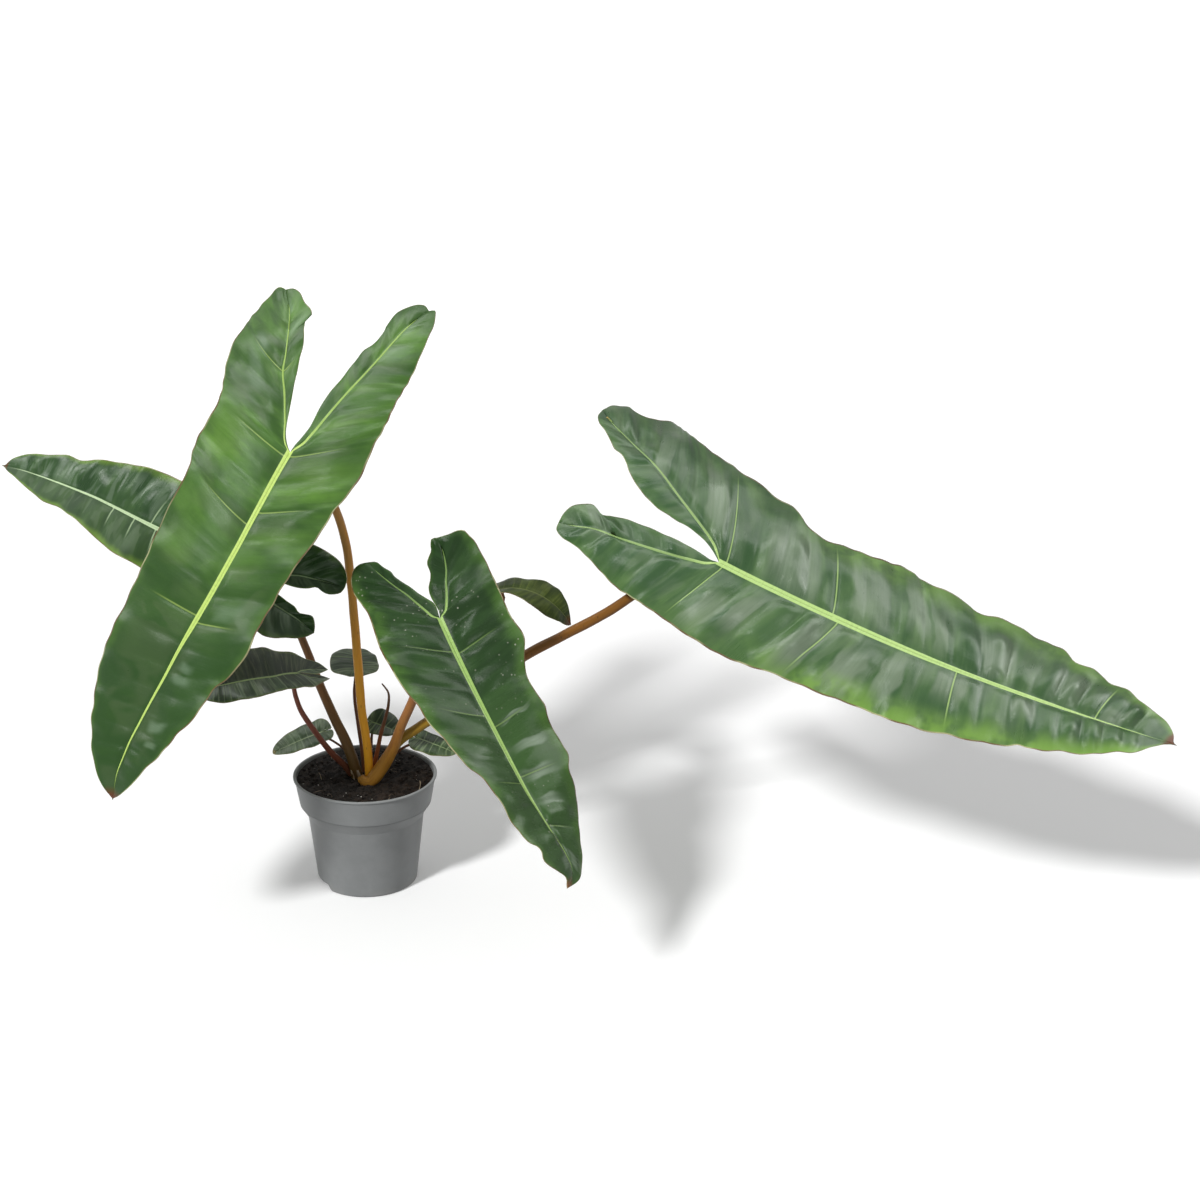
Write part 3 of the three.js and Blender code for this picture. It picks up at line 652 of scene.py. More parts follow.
    def rim(self) -> bpy.types.Material:
        """Builds the thin cut edge, cream in places and purplish brown in others."""
        g = Graph(self.name + "_rim")
        spot = g.spot()
        turn = g.noise(spot, 24.0, 3.0, 0.6)
        colour = g.mix(g.rise(turn, 0.42, 0.6), self.edge, self.pale_edge)
        roughness = g.rise(turn, 0.3, 0.7, 0.4, 0.6)
        return g.close(colour, roughness, g.bump(g.noise(spot, 500.0), 0.3, 0.0003))


@dataclass(frozen=True)
class StalkFinish:
    """The skin of a leaf stalk: smooth and waxy, streaked lengthwise, with small corky specks.

    Attributes:
        name: the material's name.
        low: the colour at the foot.
        high: the colour at the blade.
        streak: the colour of the streaks.
        speck: the colour of the specks.
        length: how far up the stalk the colour has changed, in units of 100 mm.
        streaks: how strong the streaks are.
        gloss: the roughness.
    """

    name: str
    low: Colour
    high: Colour
    streak: Colour
    speck: Colour = (0.07, 0.035, 0.015)
    length: float = 2.5
    streaks: float = 0.5
    gloss: float = 0.46

    def material(self) -> bpy.types.Material:
        """Builds the material from the stalk's own map: length up it, turn round it."""
        g = Graph(self.name)
        up, _, chart = g.chart("up_stalk")
        spot = g.spot()
        line = g.noise(g.scaled(chart, (1.6, 5.0, 1.0)), 1.6, 5.0, 0.62, 0.3)
        hair = g.noise(g.scaled(chart, (2.5, 22.0, 1.0)), 1.5, 3.0, 0.6)
        cloud = g.noise(spot, 38.0, 3.0, 0.55)
        colour = g.mix(g.rise(g.plus(up, g.times(cloud, 0.5)), 0.2, self.length), self.low, self.high)
        colour = g.tint(colour, self.streak, g.rise(line, 0.48, 0.66), self.streaks)
        colour = g.tint(colour, self.streak, g.rise(hair, 0.52, 0.7), 0.35)
        flecks = g.rise(g.cells(g.scaled(spot, (1.0, 1.0, 0.4)), 260.0), 0.2, 0.08)
        colour = g.mix(g.times(flecks, g.rise(cloud, 0.5, 0.65, 0.0, 0.8)), colour, self.speck)
        roughness = g.plus(g.times(line, 0.25), self.gloss - 0.12)
        normal = g.bump(hair, 0.3, 0.0005)
        normal = g.bump(g.noise(spot, 300.0, 3.0, 0.6), 0.16, 0.0005, normal)
        return g.close(colour, roughness, normal, Specular_IOR_Level=0.22)


@dataclass(frozen=True)
class PotFinish:
    """Satin grey moulded plastic, a little dusty, with faint run marks and a paler lip."""

    body: Colour = (0.205, 0.213, 0.214)
    pale: Colour = (0.27, 0.280, 0.280)
    dust: Colour = (0.30, 0.29, 0.27)

    def material(self) -> bpy.types.Material:
        """Builds the plastic."""
        g = Graph("pot_plastic_satin")
        spot = g.spot()
        apart = g.add("SeparateXYZ", {"Vector": spot})
        cloud = g.noise(spot, 30.0, 4.0, 0.6)
        runs = g.noise(g.scaled(spot, (90.0, 90.0, 9.0)), 1.0, 4.0, 0.6)
        rings = g.noise(g.scaled(spot, (4.0, 4.0, 620.0)), 1.0, 2.0, 0.5)
        grain = g.noise(spot, 900.0, 2.0, 0.6)
        between = tuple(0.5 * (a + b) for a, b in zip(self.body, self.pale))
        colour = g.mix(g.rise(cloud, 0.35, 0.7), self.body, between)
        colour = g.mix(g.rise(runs, 0.55, 0.8, 0.0, 0.22), colour, self.pale)
        colour = g.mix(g.rise(apart.outputs["Z"], *POT_LIP, 0.0, 0.75), colour, self.pale)
        foot = g.times(g.rise(apart.outputs["Z"], POT_DUST, 0.0), g.rise(cloud, 0.35, 0.65))
        colour = g.tint(colour, self.dust, foot, 0.35)
        flecks = g.times(g.rise(g.cells(spot, 240.0), 0.12, 0.05), g.rise(cloud, 0.52, 0.66))
        colour = g.tint(colour, self.dust, flecks, 0.4)
        roughness = g.plus(g.times(cloud, 0.16), g.times(runs, 0.12))
        roughness = g.plus(roughness, 0.3)
        normal = g.bump(grain, 0.22, 0.0002)
        normal = g.bump(rings, 0.08, 0.0003, normal)
        normal = g.bump(cloud, 0.1, 0.0012, normal)
        return g.close(colour, roughness, normal, Specular_IOR_Level=0.3)


@dataclass(frozen=True)
class LooseFinish:
    """A dull, uneven finish for soil, crumbs, fibres and dry sheaths.

    Attributes:
        name: the material's name.
        dark: the colour of its hollows.
        pale: the colour of its high spots.
        scale: how fine the coarser noise is.
        rough: the roughness.
        depth: how deep the surface looks, in metres.
    """

    name: str
    dark: Colour
    pale: Colour
    scale: float = 90.0
    rough: float = 0.92
    depth: float = 0.0015

    def material(self) -> bpy.types.Material:
        """Builds the finish from two scales of noise."""
        g = Graph(self.name)
        spot = g.spot()
        coarse = g.noise(spot, self.scale, 5.0, 0.65)
        fine = g.noise(spot, self.scale * 6.0, 4.0, 0.7)
        colour = g.mix(g.rise(coarse, 0.38, 0.68), self.dark, self.pale)
        colour = g.mix(g.rise(fine, 0.55, 0.8, 0.0, 0.5), colour, tuple(1.6 * c for c in self.pale))
        colour = g.mix(g.rise(fine, 0.45, 0.2, 0.0, 0.6), colour, tuple(0.5 * c for c in self.dark))
        normal = g.bump(coarse, 0.6, self.depth)
        normal = g.bump(fine, 0.6, self.depth * 0.3, normal)
        return g.close(colour, g.rise(coarse, 0.3, 0.7, self.rough, self.rough - 0.12), normal,
                       Specular_IOR_Level=0.25)


@dataclass(frozen=True)
class Half:
    """One half of a blade, in millimetres: along the midrib, and out from it.

    Attributes:
        outer: the margin, from the tip round to the lobe's end.
        inner: the lobe's edge towards the stalk, from the stalk to the lobe's end.
        rib: the lobe's own rib, from the stalk.
        veins: where the side veins start on the midrib, below 0 on the lobe's rib.
        lean: pairs of a vein's start and the place along the blade where it meets the margin.
        marked: the veins that are sunk and coloured more strongly than the rest.
    """

    outer: Line
    inner: Line
    rib: Line
    veins: Sequence[float]
    lean: Sequence[tuple[float, float]]
    marked: Sequence[float] = ()

    def margin(self, place: float, length: float) -> Vector:
        """Finds where a row of the blade meets the outer margin.

        Args:
            place: where the row starts on the midrib, or below 0 on the lobe's rib.
            length: the blade's length.

        Returns:
            The point on the margin.
        """
        knots = [(length, 0.0), (-self.rib.length, self.outer.length)]
        knots += [(start, self.outer.where(end)) for start, end in self.lean]
        return self.outer.at(Curve(*knots)(place))


def shaped_half(length: float, half: float, full: float, taper: float, inner: float, lobe: float,
                angle: float) -> Half:
    """Draws the plain arrow shape of a small blade.

    Args:
        length: from the stalk to the tip.
        half: the half's width at the stalk.
        full: how long the half stays wide.
        taper: how fast it narrows.
        inner: the width inside the lobe's rib, as a share of half.
        lobe: the lobe's length.
        angle: the lobe rib's angle from the midrib, in degrees.

    Returns:
        The half.
    """
    outer = [(length * s, half * (1 - s ** full) ** taper) for s in (1, 0.99, 0.96, 0.9, 0.8, 0.65, 0.5, 0.3, 0.12)]

    def rib_at(q: float) -> float:
        """How far out the lobe's rib is at a share of the lobe."""
        return lobe * (math.tan(math.radians(angle)) * q)

    shares = (0, 0.2, 0.4, 0.6, 0.75, 0.88, 0.96)
    outer += [(-lobe * q, rib_at(q) + half * (1 - 0.3 * q) * math.sqrt(1 - q ** 3)) for q in (*shares, 1)]
    band = [half * inner * smooth(0, 0.6, q) * math.sqrt(1 - q ** 8) for q in (*shares, 1)]
    inside = [(-lobe * q, rib_at(q) - min(wide, 0.85 * rib_at(q))) for q, wide in zip((*shares, 1), band)]
    rib = [(-lobe * q * 0.85, rib_at(q * 0.85)) for q in (0, 0.25, 0.5, 0.75, 1)]
    veins = [length * s for s in (0.12, 0.27, 0.42, 0.56, 0.69, 0.8, 0.89)] + [-lobe * s for s in (0.3, 0.62)]
    return Half(Line(outer), Line(inside), Line(rib), veins, [(0.0, -0.35 * lobe)])


@dataclass
class Blade:
    """One leaf blade, in the CAD's own terms, with its outline, ribs and relief.

    Lengths are in millimetres and angles in degrees.

    Attributes:
        name: the leaf's name.
        apex: where the stalk meets the blade.
        turn: heading, pitch and roll of the midrib there.
        length: from the stalk to the tip.
        bends: droop, sweep and twist of the midrib over its whole length.
        half: the widths of the left and the right half.
        fold: how steeply the halves rise from the midrib.
        arch: how far they curve back down towards the margin.
        lobes: length and droop of each lobe.
        wave: height, period and phase of the waves along the margin.
        halves: the drawn outlines of the left and the right half.
        finish: its colours and gloss.
        slot: not used.
        midrib: how far the midrib lies to the left, along the blade.
        band: the midrib's width, along the blade.
        lobe_band: the width of a lobe's rib at its start.
        puff: how far the surface swells between the veins.
        groove: how deep the veins are sunk.
        crease: how strong the fine creases are.
        tip_fold: the share of the fold that is left at the tip.
        frill: how strongly the margin is ruffled.
        ridge: how far the midrib stands out below.
        step: the rows' spacing.
        columns: corners across each half.
        seed: what its unevenness is drawn from.
    """

    name: str
    apex: Sequence[float]
    turn: tuple[float, float, float]
    length: float
    bends: tuple[float, float, float]
    half: tuple[float, float]
    fold: float
    arch: float
    lobes: tuple[tuple[float, float], tuple[float, float]]
    wave: tuple[float, float, float]
    halves: tuple[Half, Half]
    finish: BladeFinish
    slot: str
    midrib: Curve = field(default_factory=lambda: Curve((0, 0), (1, 0)))
    band: Curve = field(default_factory=lambda: Curve((0, 0), (1, 0)))
    lobe_band: float = 3.0
    puff: float = 0.7
    groove: float = 0.5
    crease: float = 0.3
    tip_fold: float = 1.0
    frill: float = 0.55
    ridge: float = 2.2
    step: float = 2.3
    columns: int = 20
    seed: float = 1.0

    def __post_init__(self) -> None:
        """Walks the midrib and both lobes once."""
        self.main = self.walk(self.length, self.bends, 1.0)
        self.back = [self.walk(length, (drop, 0.0, 0.0), -1.0) for length, drop in self.lobes]

    def axes(self) -> Matrix:
        """The leaf's own axes at the stalk: along the midrib, to its left, and out of the upper face."""
        heading, pitch, roll = (math.radians(a) for a in self.turn)
        return Matrix.Rotation(heading, 3, "Z") @ Matrix.Rotation(-pitch, 3, "Y") @ Matrix.Rotation(roll, 3, "X")

    def walk(self, length: float, bends: tuple[float, float, float], direction: float,
             ) -> list[tuple[Vector, Matrix]]:
        """Walks a rib in short steps, bending evenly.

        Args:
            length: the rib's length.
            bends: droop, sweep and twist over the whole length, in degrees.
            direction: 1 towards the tip, -1 into a lobe.

        Returns:
            The place and axes at each step.
        """
        droop, sweep, twist = (math.radians(a) / WALK_STEPS for a in bends)
        step = Matrix.Rotation(twist, 3, "X") @ Matrix.Rotation(droop, 3, "Y") @ Matrix.Rotation(sweep, 3, "Z")
        axes, place = self.axes(), Vector(self.apex)
        line = [(place.copy(), axes.copy())]
        for _ in range(WALK_STEPS):
            turned = axes @ step
            place = place + direction * (axes.col[0] + turned.col[0]) / 2 * length / WALK_STEPS
            axes = turned
            line.append((place.copy(), axes.copy()))
        return line

    def place(self, side: Side, along: float, reach: float, rise: float = 0.0) -> Vector:
        """Finds a point of the blade in space.

        Args:
            side: the half that it is on.
            along: its place along the midrib, below 0 in a lobe.
            reach: how far out it is, below 0 across the midrib.
            rise: how far it stands above the plain surface.

        Returns:
            The point, in millimetres.
        """
        half, right = self.half[side.value], side is Side.RIGHT
        line = self.main if along >= 0 else self.back[side.value]
        length = self.length if along >= 0 else self.lobes[side.value][0]
        x = min(max(abs(along) / length, 0.0), 1.0) * WALK_STEPS
        i = min(int(x), WALK_STEPS - 1)
        (c0, a0), (c1, a1) = line[i], line[i + 1]
        centre = c0.lerp(c1, x - i)
        y_axis, z_axis = a0.col[1].lerp(a1.col[1], x - i), a0.col[2].lerp(a1.col[2], x - i)
        lateral = side.sign * reach
        middle = self.midrib(max(along, 0.0))
        out = abs(lateral - middle)
        way = 1.0 if lateral >= middle else -1.0
        fold = self.fold * (1 - (1 - self.tip_fold) * smooth(*TIP_ZONE, along / self.length))
        slope = math.radians(fold - self.arch * abs(lateral) / (2 * half))
        height, period, phase = self.wave
        turns = 2 * math.pi * along / (period * (1.0 if right else 1.13)) + phase + 2 * side.value
        lift = height * min(1.0, abs(lateral) / half) ** 2 * math.sin(turns)
        lift *= min(1.0, out / CALM_STRIP)
        return (centre + y_axis * (middle + way * out * math.cos(slope))
                + z_axis * (out * math.sin(slope) + lift + rise))

    def row_places(self, half: Half) -> list[float]:
        """Cuts the midrib and the lobe's rib into rows, with one on each vein.

        Args:
            half: the half of the blade.

        Returns:
            The places, from the tip down into the lobe.
        """
        stops = sorted({self.length, 0.0, -half.rib.length, *half.veins}, reverse=True)
        places = [stops[0]]
        for start, end in zip(stops, stops[1:]):
            count = max(1, math.ceil((start - end) / self.step))
            places += [start + (end - start) * (i + 1) / count for i in range(count)]
        return places

    def relief(self, half: Half, place: float, share: float, reach: float, size: float) -> float:
        """Works out how far the surface stands proud: sunk veins, puffed between, ruffled at the margin.

        Args:
            half: the half of the blade.
            place: the row's start on the rib.
            share: how far across the blade, from 0 at the rib's band to 1 at the margin.
            reach: how far out, for the broad lumps.
            size: the row's length.

        Returns:
            The rise in millimetres.
        """
        order = sorted(half.veins)
        i = bisect_right(order, place)
        below = order[i - 1] if i > 0 else order[0] - PAST_LAST_VEIN[0]
        above = order[i] if i < len(order) else order[-1] + PAST_LAST_VEIN[1]
        between = min(max((place - below) / max(above - below, 1e-6), 0.0), 1.0)
        gap = min(place - below, above - place)
        nearest = below if place - below < above - place else above
        small = min(1.0, size / FULL_RELIEF) * smooth(0.0, 0.16, 1.0 - place / self.length)
        fade = smooth(0.0, 0.14, share) * (1 - 0.8 * smooth(0.55, 1.0, share)) * small
        own = 0.2 + 1.5 * abs(lumps(Vector((below, self.seed * 9, 0)), 7.3, self.seed))
        spread = lumps(Vector((place, reach, self.seed * 17)), SWELL_SIZE, 7.0)
        rise = self.puff * own * (1 + 0.8 * spread) * math.sin(math.pi * between) ** 1.4 * fade
        deep = self.groove * (1.7 if nearest in half.marked else 0.8)
        rise -= deep * math.exp(-(gap / GROOVE_WIDTH) ** 2) * (1 - smooth(0.3, 0.9, share)) * small
        rise += self.crease * fade * lumps(Vector((place, reach * 0.28, self.seed * 23)), CREASE_SIZE, 2.0)
        rise += 0.6 * self.puff * fade * lumps(Vector((place, reach, self.seed * 40)), BUCKLE_SIZE, self.seed)
        wander = 3.0 * lumps(Vector((place, 0, side_seed(half))), 60.0, self.seed)
        ruffle = math.sin(2 * math.pi * place / RUFFLE_PERIOD + wander)
        return rise + self.frill * min(1.0, size / FULL_FRILL) * smooth(0.55, 1.0, share) * ruffle

    def patch(self, bm: bmesh.types.BMesh, maps: UvMaps, ridge_layer: object,
              side: Side, inside: bool) -> None:
        """Lays the part of a half that is outside its rib, or the part of its lobe inside the rib.

        Args:
            bm: the blade's mesh.
            maps: its UV layers.
            ridge_layer: the corner layer for how far the ribs stand out below.
            side: the half.
            inside: True for the part inside the lobe's rib.
        """
        half = self.halves[side.value]
        places = [p for p in self.row_places(half) if not inside or p <= 0.0]
        columns = max(8, round(self.columns * (0.6 if inside else 1.0)))
        rows = []
        for place in places:
            if place >= 0:
                start = Vector((place, side.sign * self.midrib(place)))
                wide = self.band(place) / 2
            else:
                start = half.rib.at(-place)
                wide = self.lobe_band / 2 * (1 - 0.55 * -place / half.rib.length)
            if inside:
                end = half.inner.at(half.inner.length * -place / half.rib.length)
            else:
                end = half.margin(place, self.length)
            size = (end - start).length
            ratio = min(WIDEST_BAND, wide / size) if size > 1e-6 else WIDEST_BAND
            gap = min([abs(place - vein) for vein in half.marked] + [VEIN_REACH])
            rows.append((place, start, end, size, ratio, gap))

        def corner(row: int, column: int) -> Corner:
            """Places one corner of the patch."""
            place, start, end, size, ratio, gap = rows[row]
            if column <= RIB_COLUMNS:
                s = ratio * column / RIB_COLUMNS
                share = column / RIB_COLUMNS - 1
            else:
                t = (column - RIB_COLUMNS) / (columns - RIB_COLUMNS - 1)
                share = 0.6 * t + 0.4 * math.sin(math.pi * t / 2)
                s = ratio + (1 - ratio) * share
            along = start.x + (end.x - start.x) * s ** 1.3
            reach = start.y + (end.y - start.y) * s
            if share <= 0:
                crown = math.cos(math.pi / 2 * (share + 1))
                rise = RIB_SWELL * crown * min(1.0, ratio * size / 2.0) - RIB_SINK
            else:
                sunk = RIB_SINK * (1 - smooth(0.0, 0.1, share))
                rise = self.relief(half, place, share, reach, size) - sunk
            if place < 0:
                rise -= LOBE_TROUGH * smooth(0.0, 14.0, -place) * math.exp(-(s * size / 9.0) ** 2)
            spot = self.place(side, along, reach, rise) * MM
            outward = -s * size if inside else s * size
            return spot, {"along_blade": (place / MAP_UNIT, side.sign * outward / MAP_UNIT),
                          "veins": (gap / VEIN_UNIT, share)}

        made = sheet(bm, columns, len(rows), corner, maps, turn_over=inside is (side is Side.LEFT))
        for number, vertex in enumerate(made):
            row, column = divmod(number, columns)
            place, _, _, size, ratio, _ = rows[row]
            tall = self.ridge * (1 - 0.82 * abs(place) / self.length)
            tall *= 1.0 if place >= 0 else 0.55
            profile = math.sqrt(max(0.0, 1 - (column / RIB_COLUMNS) ** 2)) if column <= RIB_COLUMNS else 0.0
            thin = 1.0 - 0.5 * smooth(0.75, 1.0, (column - RIB_COLUMNS) / (columns - RIB_COLUMNS - 1))
            vertex[ridge_layer] = LEAF_SKIN * thin + tall * profile * min(1.0, size / 8.0)

    def build(self) -> bpy.types.Object:
        """Builds the whole blade: both halves, the underside with its ribs, and the edge between.

        Returns:
            The blade's object.
        """
        bm = bmesh.new()
        maps = {name: bm.loops.layers.uv.new(name) for name in ("along_blade", "veins")}
        deep = bm.verts.layers.float.new("below")
        facing = bm.verts.layers.float_vector.new("facing")
        for side in Side:
            self.patch(bm, maps, deep, side, inside=False)
            self.patch(bm, maps, deep, side, inside=True)
        bmesh.ops.remove_doubles(bm, verts=bm.verts, dist=0.03 * MM)
        bm.normal_update()
        for vertex in bm.verts:
            vertex[facing] = vertex.normal
        upper = list(bm.faces)
        made = bmesh.ops.extrude_face_region(bm, geom=upper, use_keep_orig=True)["geom"]
        raised = {item for item in made if isinstance(item, bmesh.types.BMVert)}
        top = {item for item in made if isinstance(item, bmesh.types.BMFace)}
        under = set(upper)
        for face in bm.faces:
            face.material_index = 0 if face in top else 1 if face in under else 2
        for vertex in bm.verts:
            way = vertex[facing]
            thin = min(LEAF_SKIN, vertex[deep])
            vertex.co += way * (thin if vertex in raised else -vertex[deep]) * MM
        bm.verts.layers.float.remove(deep)
        bm.verts.layers.float_vector.remove(bm.verts.layers.float_vector["facing"])
        bmesh.ops.recalc_face_normals(bm, faces=bm.faces)
        materials = (self.finish.upper(), self.finish.under(), self.finish.rim())
        return finish_piece("leaf_" + self.name, bm, materials, ["blade_" + self.name])


def side_seed(half: Half) -> float:
    """A steady number for one half, from its own shape."""
    return half.outer.length % 17.0


@dataclass
class Stalk:
    """A leaf stalk: a round, slightly flattened stem with a swollen foot, bending into the blade's rib.

    Lengths are in millimetres.

    Attributes:
        name: the piece's name.
        route: the points of its middle line.
        radii: its radius at even steps along the route.
        finish: its skin.
        slot: not used.
        nodes: the CAD nodes that it stands for.
        around: corners round it.
        step: the rings' spacing.
        seed: what its unevenness is drawn from.
        lead: more points, which lead it into the blade's rib.
        lead_radii: its radius at each of them.
        flare: how much wider its foot is, as a share of its radius.
    """

    name: str
    route: Knots
    radii: Sequence[float]
    finish: StalkFinish
    slot: str
    nodes: Sequence[str]
    around: int = 20
    step: float = 2.6
    seed: float = 1.0
    lead: Knots = ()
    lead_radii: Sequence[float] = ()
    flare: float = 0.0

    def build(self) -> bpy.types.Object:
        """Builds the stalk along its route.

        Returns:
            The stalk's object.
        """
        line = Line([*self.route, *self.lead], 12)
        main = len(self.route) - 1
        sizes = []
        for i in range(len(self.route)):
            x = i / main * (len(self.radii) - 1)
            k = min(int(x), len(self.radii) - 2)
            sizes.append(self.radii[k] + (self.radii[k + 1] - self.radii[k]) * (x - k))
        radius = Curve(*zip(line.stops, [*sizes, *self.lead_radii]))
        rings = max(8, round(line.length / self.step))
        bm = bmesh.new()
        maps = {"up_stalk": bm.loops.layers.uv.new("up_stalk")}
        frames = transported(line, rings)

        def corner(row: int, column: int) -> Corner:
            """Places one corner of the stalk's skin."""
            share = row / (rings - 1)
            distance = line.length * share
            centre, across, up = frames[row]
            turn = 2 * math.pi * column / self.around
            size = radius(distance) * (1 + self.flare * math.exp(-distance / FOOT_FLARE))
            size *= 1 + 0.035 * lumps(Vector((distance, 6 * math.cos(turn), 6 * math.sin(turn))), 17.0, self.seed)
            size *= 1 - 0.05 * max(0.0, math.cos(turn)) ** 4
            spot = centre + (across * math.sin(turn) + up * math.cos(turn)) * size
            return spot * MM, {"up_stalk": (distance / MAP_UNIT, column / self.around)}

        sheet(bm, self.around + 1, rings, corner, maps)
        bmesh.ops.remove_doubles(bm, verts=bm.verts, dist=0.01 * MM)
        bmesh.ops.holes_fill(bm, edges=[edge for edge in bm.edges if edge.is_boundary], sides=0)
        bmesh.ops.recalc_face_normals(bm, faces=bm.faces)
        return finish_piece(self.name, bm, [self.finish.material()], self.nodes)


def transported(line: Line, count: int) -> list[tuple[Vector, Vector, Vector]]:
    """Carries a pair of cross directions along a line without twisting them.

    Args:
        line: the line.
        count: how many places.

    Returns:
        The place and the two directions at each.
    """
    places = [line.at(line.length * i / (count - 1)) for i in range(count)]
    frames = []
    up = Vector((0.0, 1.0, 0.0))
    for i, place in enumerate(places):
        ahead = (places[min(i + 1, count - 1)] - places[max(i - 1, 0)]).normalized()
        up = (up - ahead * up.dot(ahead)).normalized()
        frames.append((place, ahead.cross(up), up.copy()))
    return frames


@dataclass
class Pot:
    """The round grey pot: a spun shell with a rolled lip, a band, a soft shoulder and two notches in its foot.

    Lengths are in millimetres. POT_ROUNDS gives the corners of its section from the first up to, not
    with, the second number, and how far they are rounded.

    Attributes:
        height: from the floor to the lip.
        rim: the lip's outer radius.
        lip: the lip's height.
        band_top: the band's radius under the lip.
        band_foot: radius and height of the band's lower end.
        shoulder: radius and height of the neck below it.
        base: the foot's outer radius.
        wall: the wall's thickness.
        floor: how high the floor inside lies.
        notch_turns: which way each notch faces, in degrees.
        notch: a notch's width at its foot and at its top, its height, and its depth to either side of the wall.
        steps: flats round the pot.
    """

    height: float = 95.5
    rim: float = 60.0
    lip: float = 1.6
    band_top: float = 58.8
    band_foot: tuple[float, float] = (55.0, 71.5)
    shoulder: tuple[float, float] = (49.0, 62.5)
    base: float = 41.4
    wall: float = 1.4
    floor: float = 2.4
    notch_turns: tuple[float, float] = (203.0, 21.0)
    notch: tuple[float, float, float, float] = (36.0, 28.0, 6.0, 6.0)
    steps: int = 144

    def profile(self) -> list[tuple[float, float]]:
        """The wall's section, from the middle of the underside round to the middle of the floor inside."""
        band_radius, band_height = self.band_foot
        neck_radius, neck_height = self.shoulder
        inner_top = self.rim - self.wall - 1.0
        return [(0.0, 1.6), (self.base - 7.0, 1.6), (self.base - 5.0, 0.0), (self.base, 0.0),
                (neck_radius - 0.6, neck_height - 1.5), (neck_radius + 0.2, neck_height),
                (band_radius - 1.2, band_height - 1.4), (band_radius, band_height),
                (self.band_top, self.height - self.lip - 0.4), (self.rim, self.height - self.lip),
                (self.rim, self.height), (inner_top, self.height), (inner_top - 0.4, self.height - 2.0),
                (band_radius - self.wall, band_height), (neck_radius - self.wall, neck_height - 1.0),
                (self.base - self.wall, self.floor), (0.0, self.floor)]

    def build(self) -> bpy.types.Object:
        """Spins the section, rounds its corners and cuts the notches.

        Returns:
            The pot's object.
        """
        bm = bmesh.new()
        corners = [bm.verts.new((radius * MM, 0.0, height * MM)) for radius, height in self.profile()]
        for a, b in zip(corners, corners[1:]):
            bm.edges.new((a, b))
        for first, after, size in POT_ROUNDS:
            chosen = [v for v in corners[first:after] if v.is_valid]
            bmesh.ops.bevel(bm, geom=chosen, offset=size * MM, segments=4, profile=0.5, affect="VERTICES",
                            material=-1)
        bmesh.ops.spin(bm, geom=[*bm.verts, *bm.edges], cent=(0, 0, 0), axis=(0, 0, 1), angle=2 * math.pi,
                       steps=self.steps, use_merge=True)
        bmesh.ops.remove_doubles(bm, verts=bm.verts, dist=0.01 * MM)
        bmesh.ops.recalc_face_normals(bm, faces=bm.faces)
        pot = finish_piece("nursery_pot", bm, [PotFinish().material()], ["pot"])
        self.cut_notches(pot)
        return pot

    def cut_notches(self, pot: bpy.types.Object) -> None:
        """Cuts the two notches out of the foot.

        Args:
            pot: the pot, whose mesh is changed.
        """
        wide, top, tall, depth = self.notch
        for turn in self.notch_turns:
            bm = bmesh.new()
            bmesh.ops.create_cube(bm, size=1.0)
            for vertex in bm.verts:
                high = vertex.co.z > 0
                across = (top if high else wide) * (1 if vertex.co.y > 0 else -1) / 2
                far = self.base + (depth if vertex.co.x > 0 else -depth)
                vertex.co = Vector((far, across, tall if high else -1.0)) * MM
            upright = [edge for edge in bm.edges if all(v.co.z > 0 for v in edge.verts)]
            bmesh.ops.bevel(bm, geom=upright, offset=0.9 * MM, segments=3, profile=0.5, affect="EDGES", material=-1)
            bmesh.ops.recalc_face_normals(bm, faces=bm.faces)
            bmesh.ops.rotate(bm, verts=bm.verts, cent=(0, 0, 0), matrix=Matrix.Rotation(math.radians(turn), 3, "Z"))
            mesh = bpy.data.meshes.new("notch_tool")
            bm.to_mesh(mesh)
            bm.free()
            tool = bpy.data.objects.new("notch_tool", mesh)
            bpy.context.scene.collection.objects.link(tool)
            cut = pot.modifiers.new("notch", "BOOLEAN")
            cut.operation, cut.solver, cut.object = "DIFFERENCE", "EXACT", tool
            ready = pot.evaluated_get(bpy.context.evaluated_depsgraph_get())
            shape = bpy.data.meshes.new_from_object(ready)
            pot.modifiers.clear()
            old, pot.data = pot.data, shape
            shape.name = "nursery_pot"
            bpy.data.meshes.remove(old)
            bpy.data.objects.remove(tool)
            bpy.data.meshes.remove(mesh)
        for polygon in pot.data.polygons:
            polygon.use_smooth = True
        sharpen(pot.data, 38.0)


def sharpen(mesh: bpy.types.Mesh, angle: float) -> None:
    """Keeps the edges of a mesh sharp where its faces meet at more than an angle.

    Args:
        mesh: the mesh.
        angle: the angle in degrees.
    """
    bm = bmesh.new()
    bm.from_mesh(mesh)
    for edge in bm.edges:
        edge.smooth = not (len(edge.link_faces) == 2 and edge.calc_face_angle(0.0) > math.radians(angle))
    bm.to_mesh(mesh)
    bm.free()


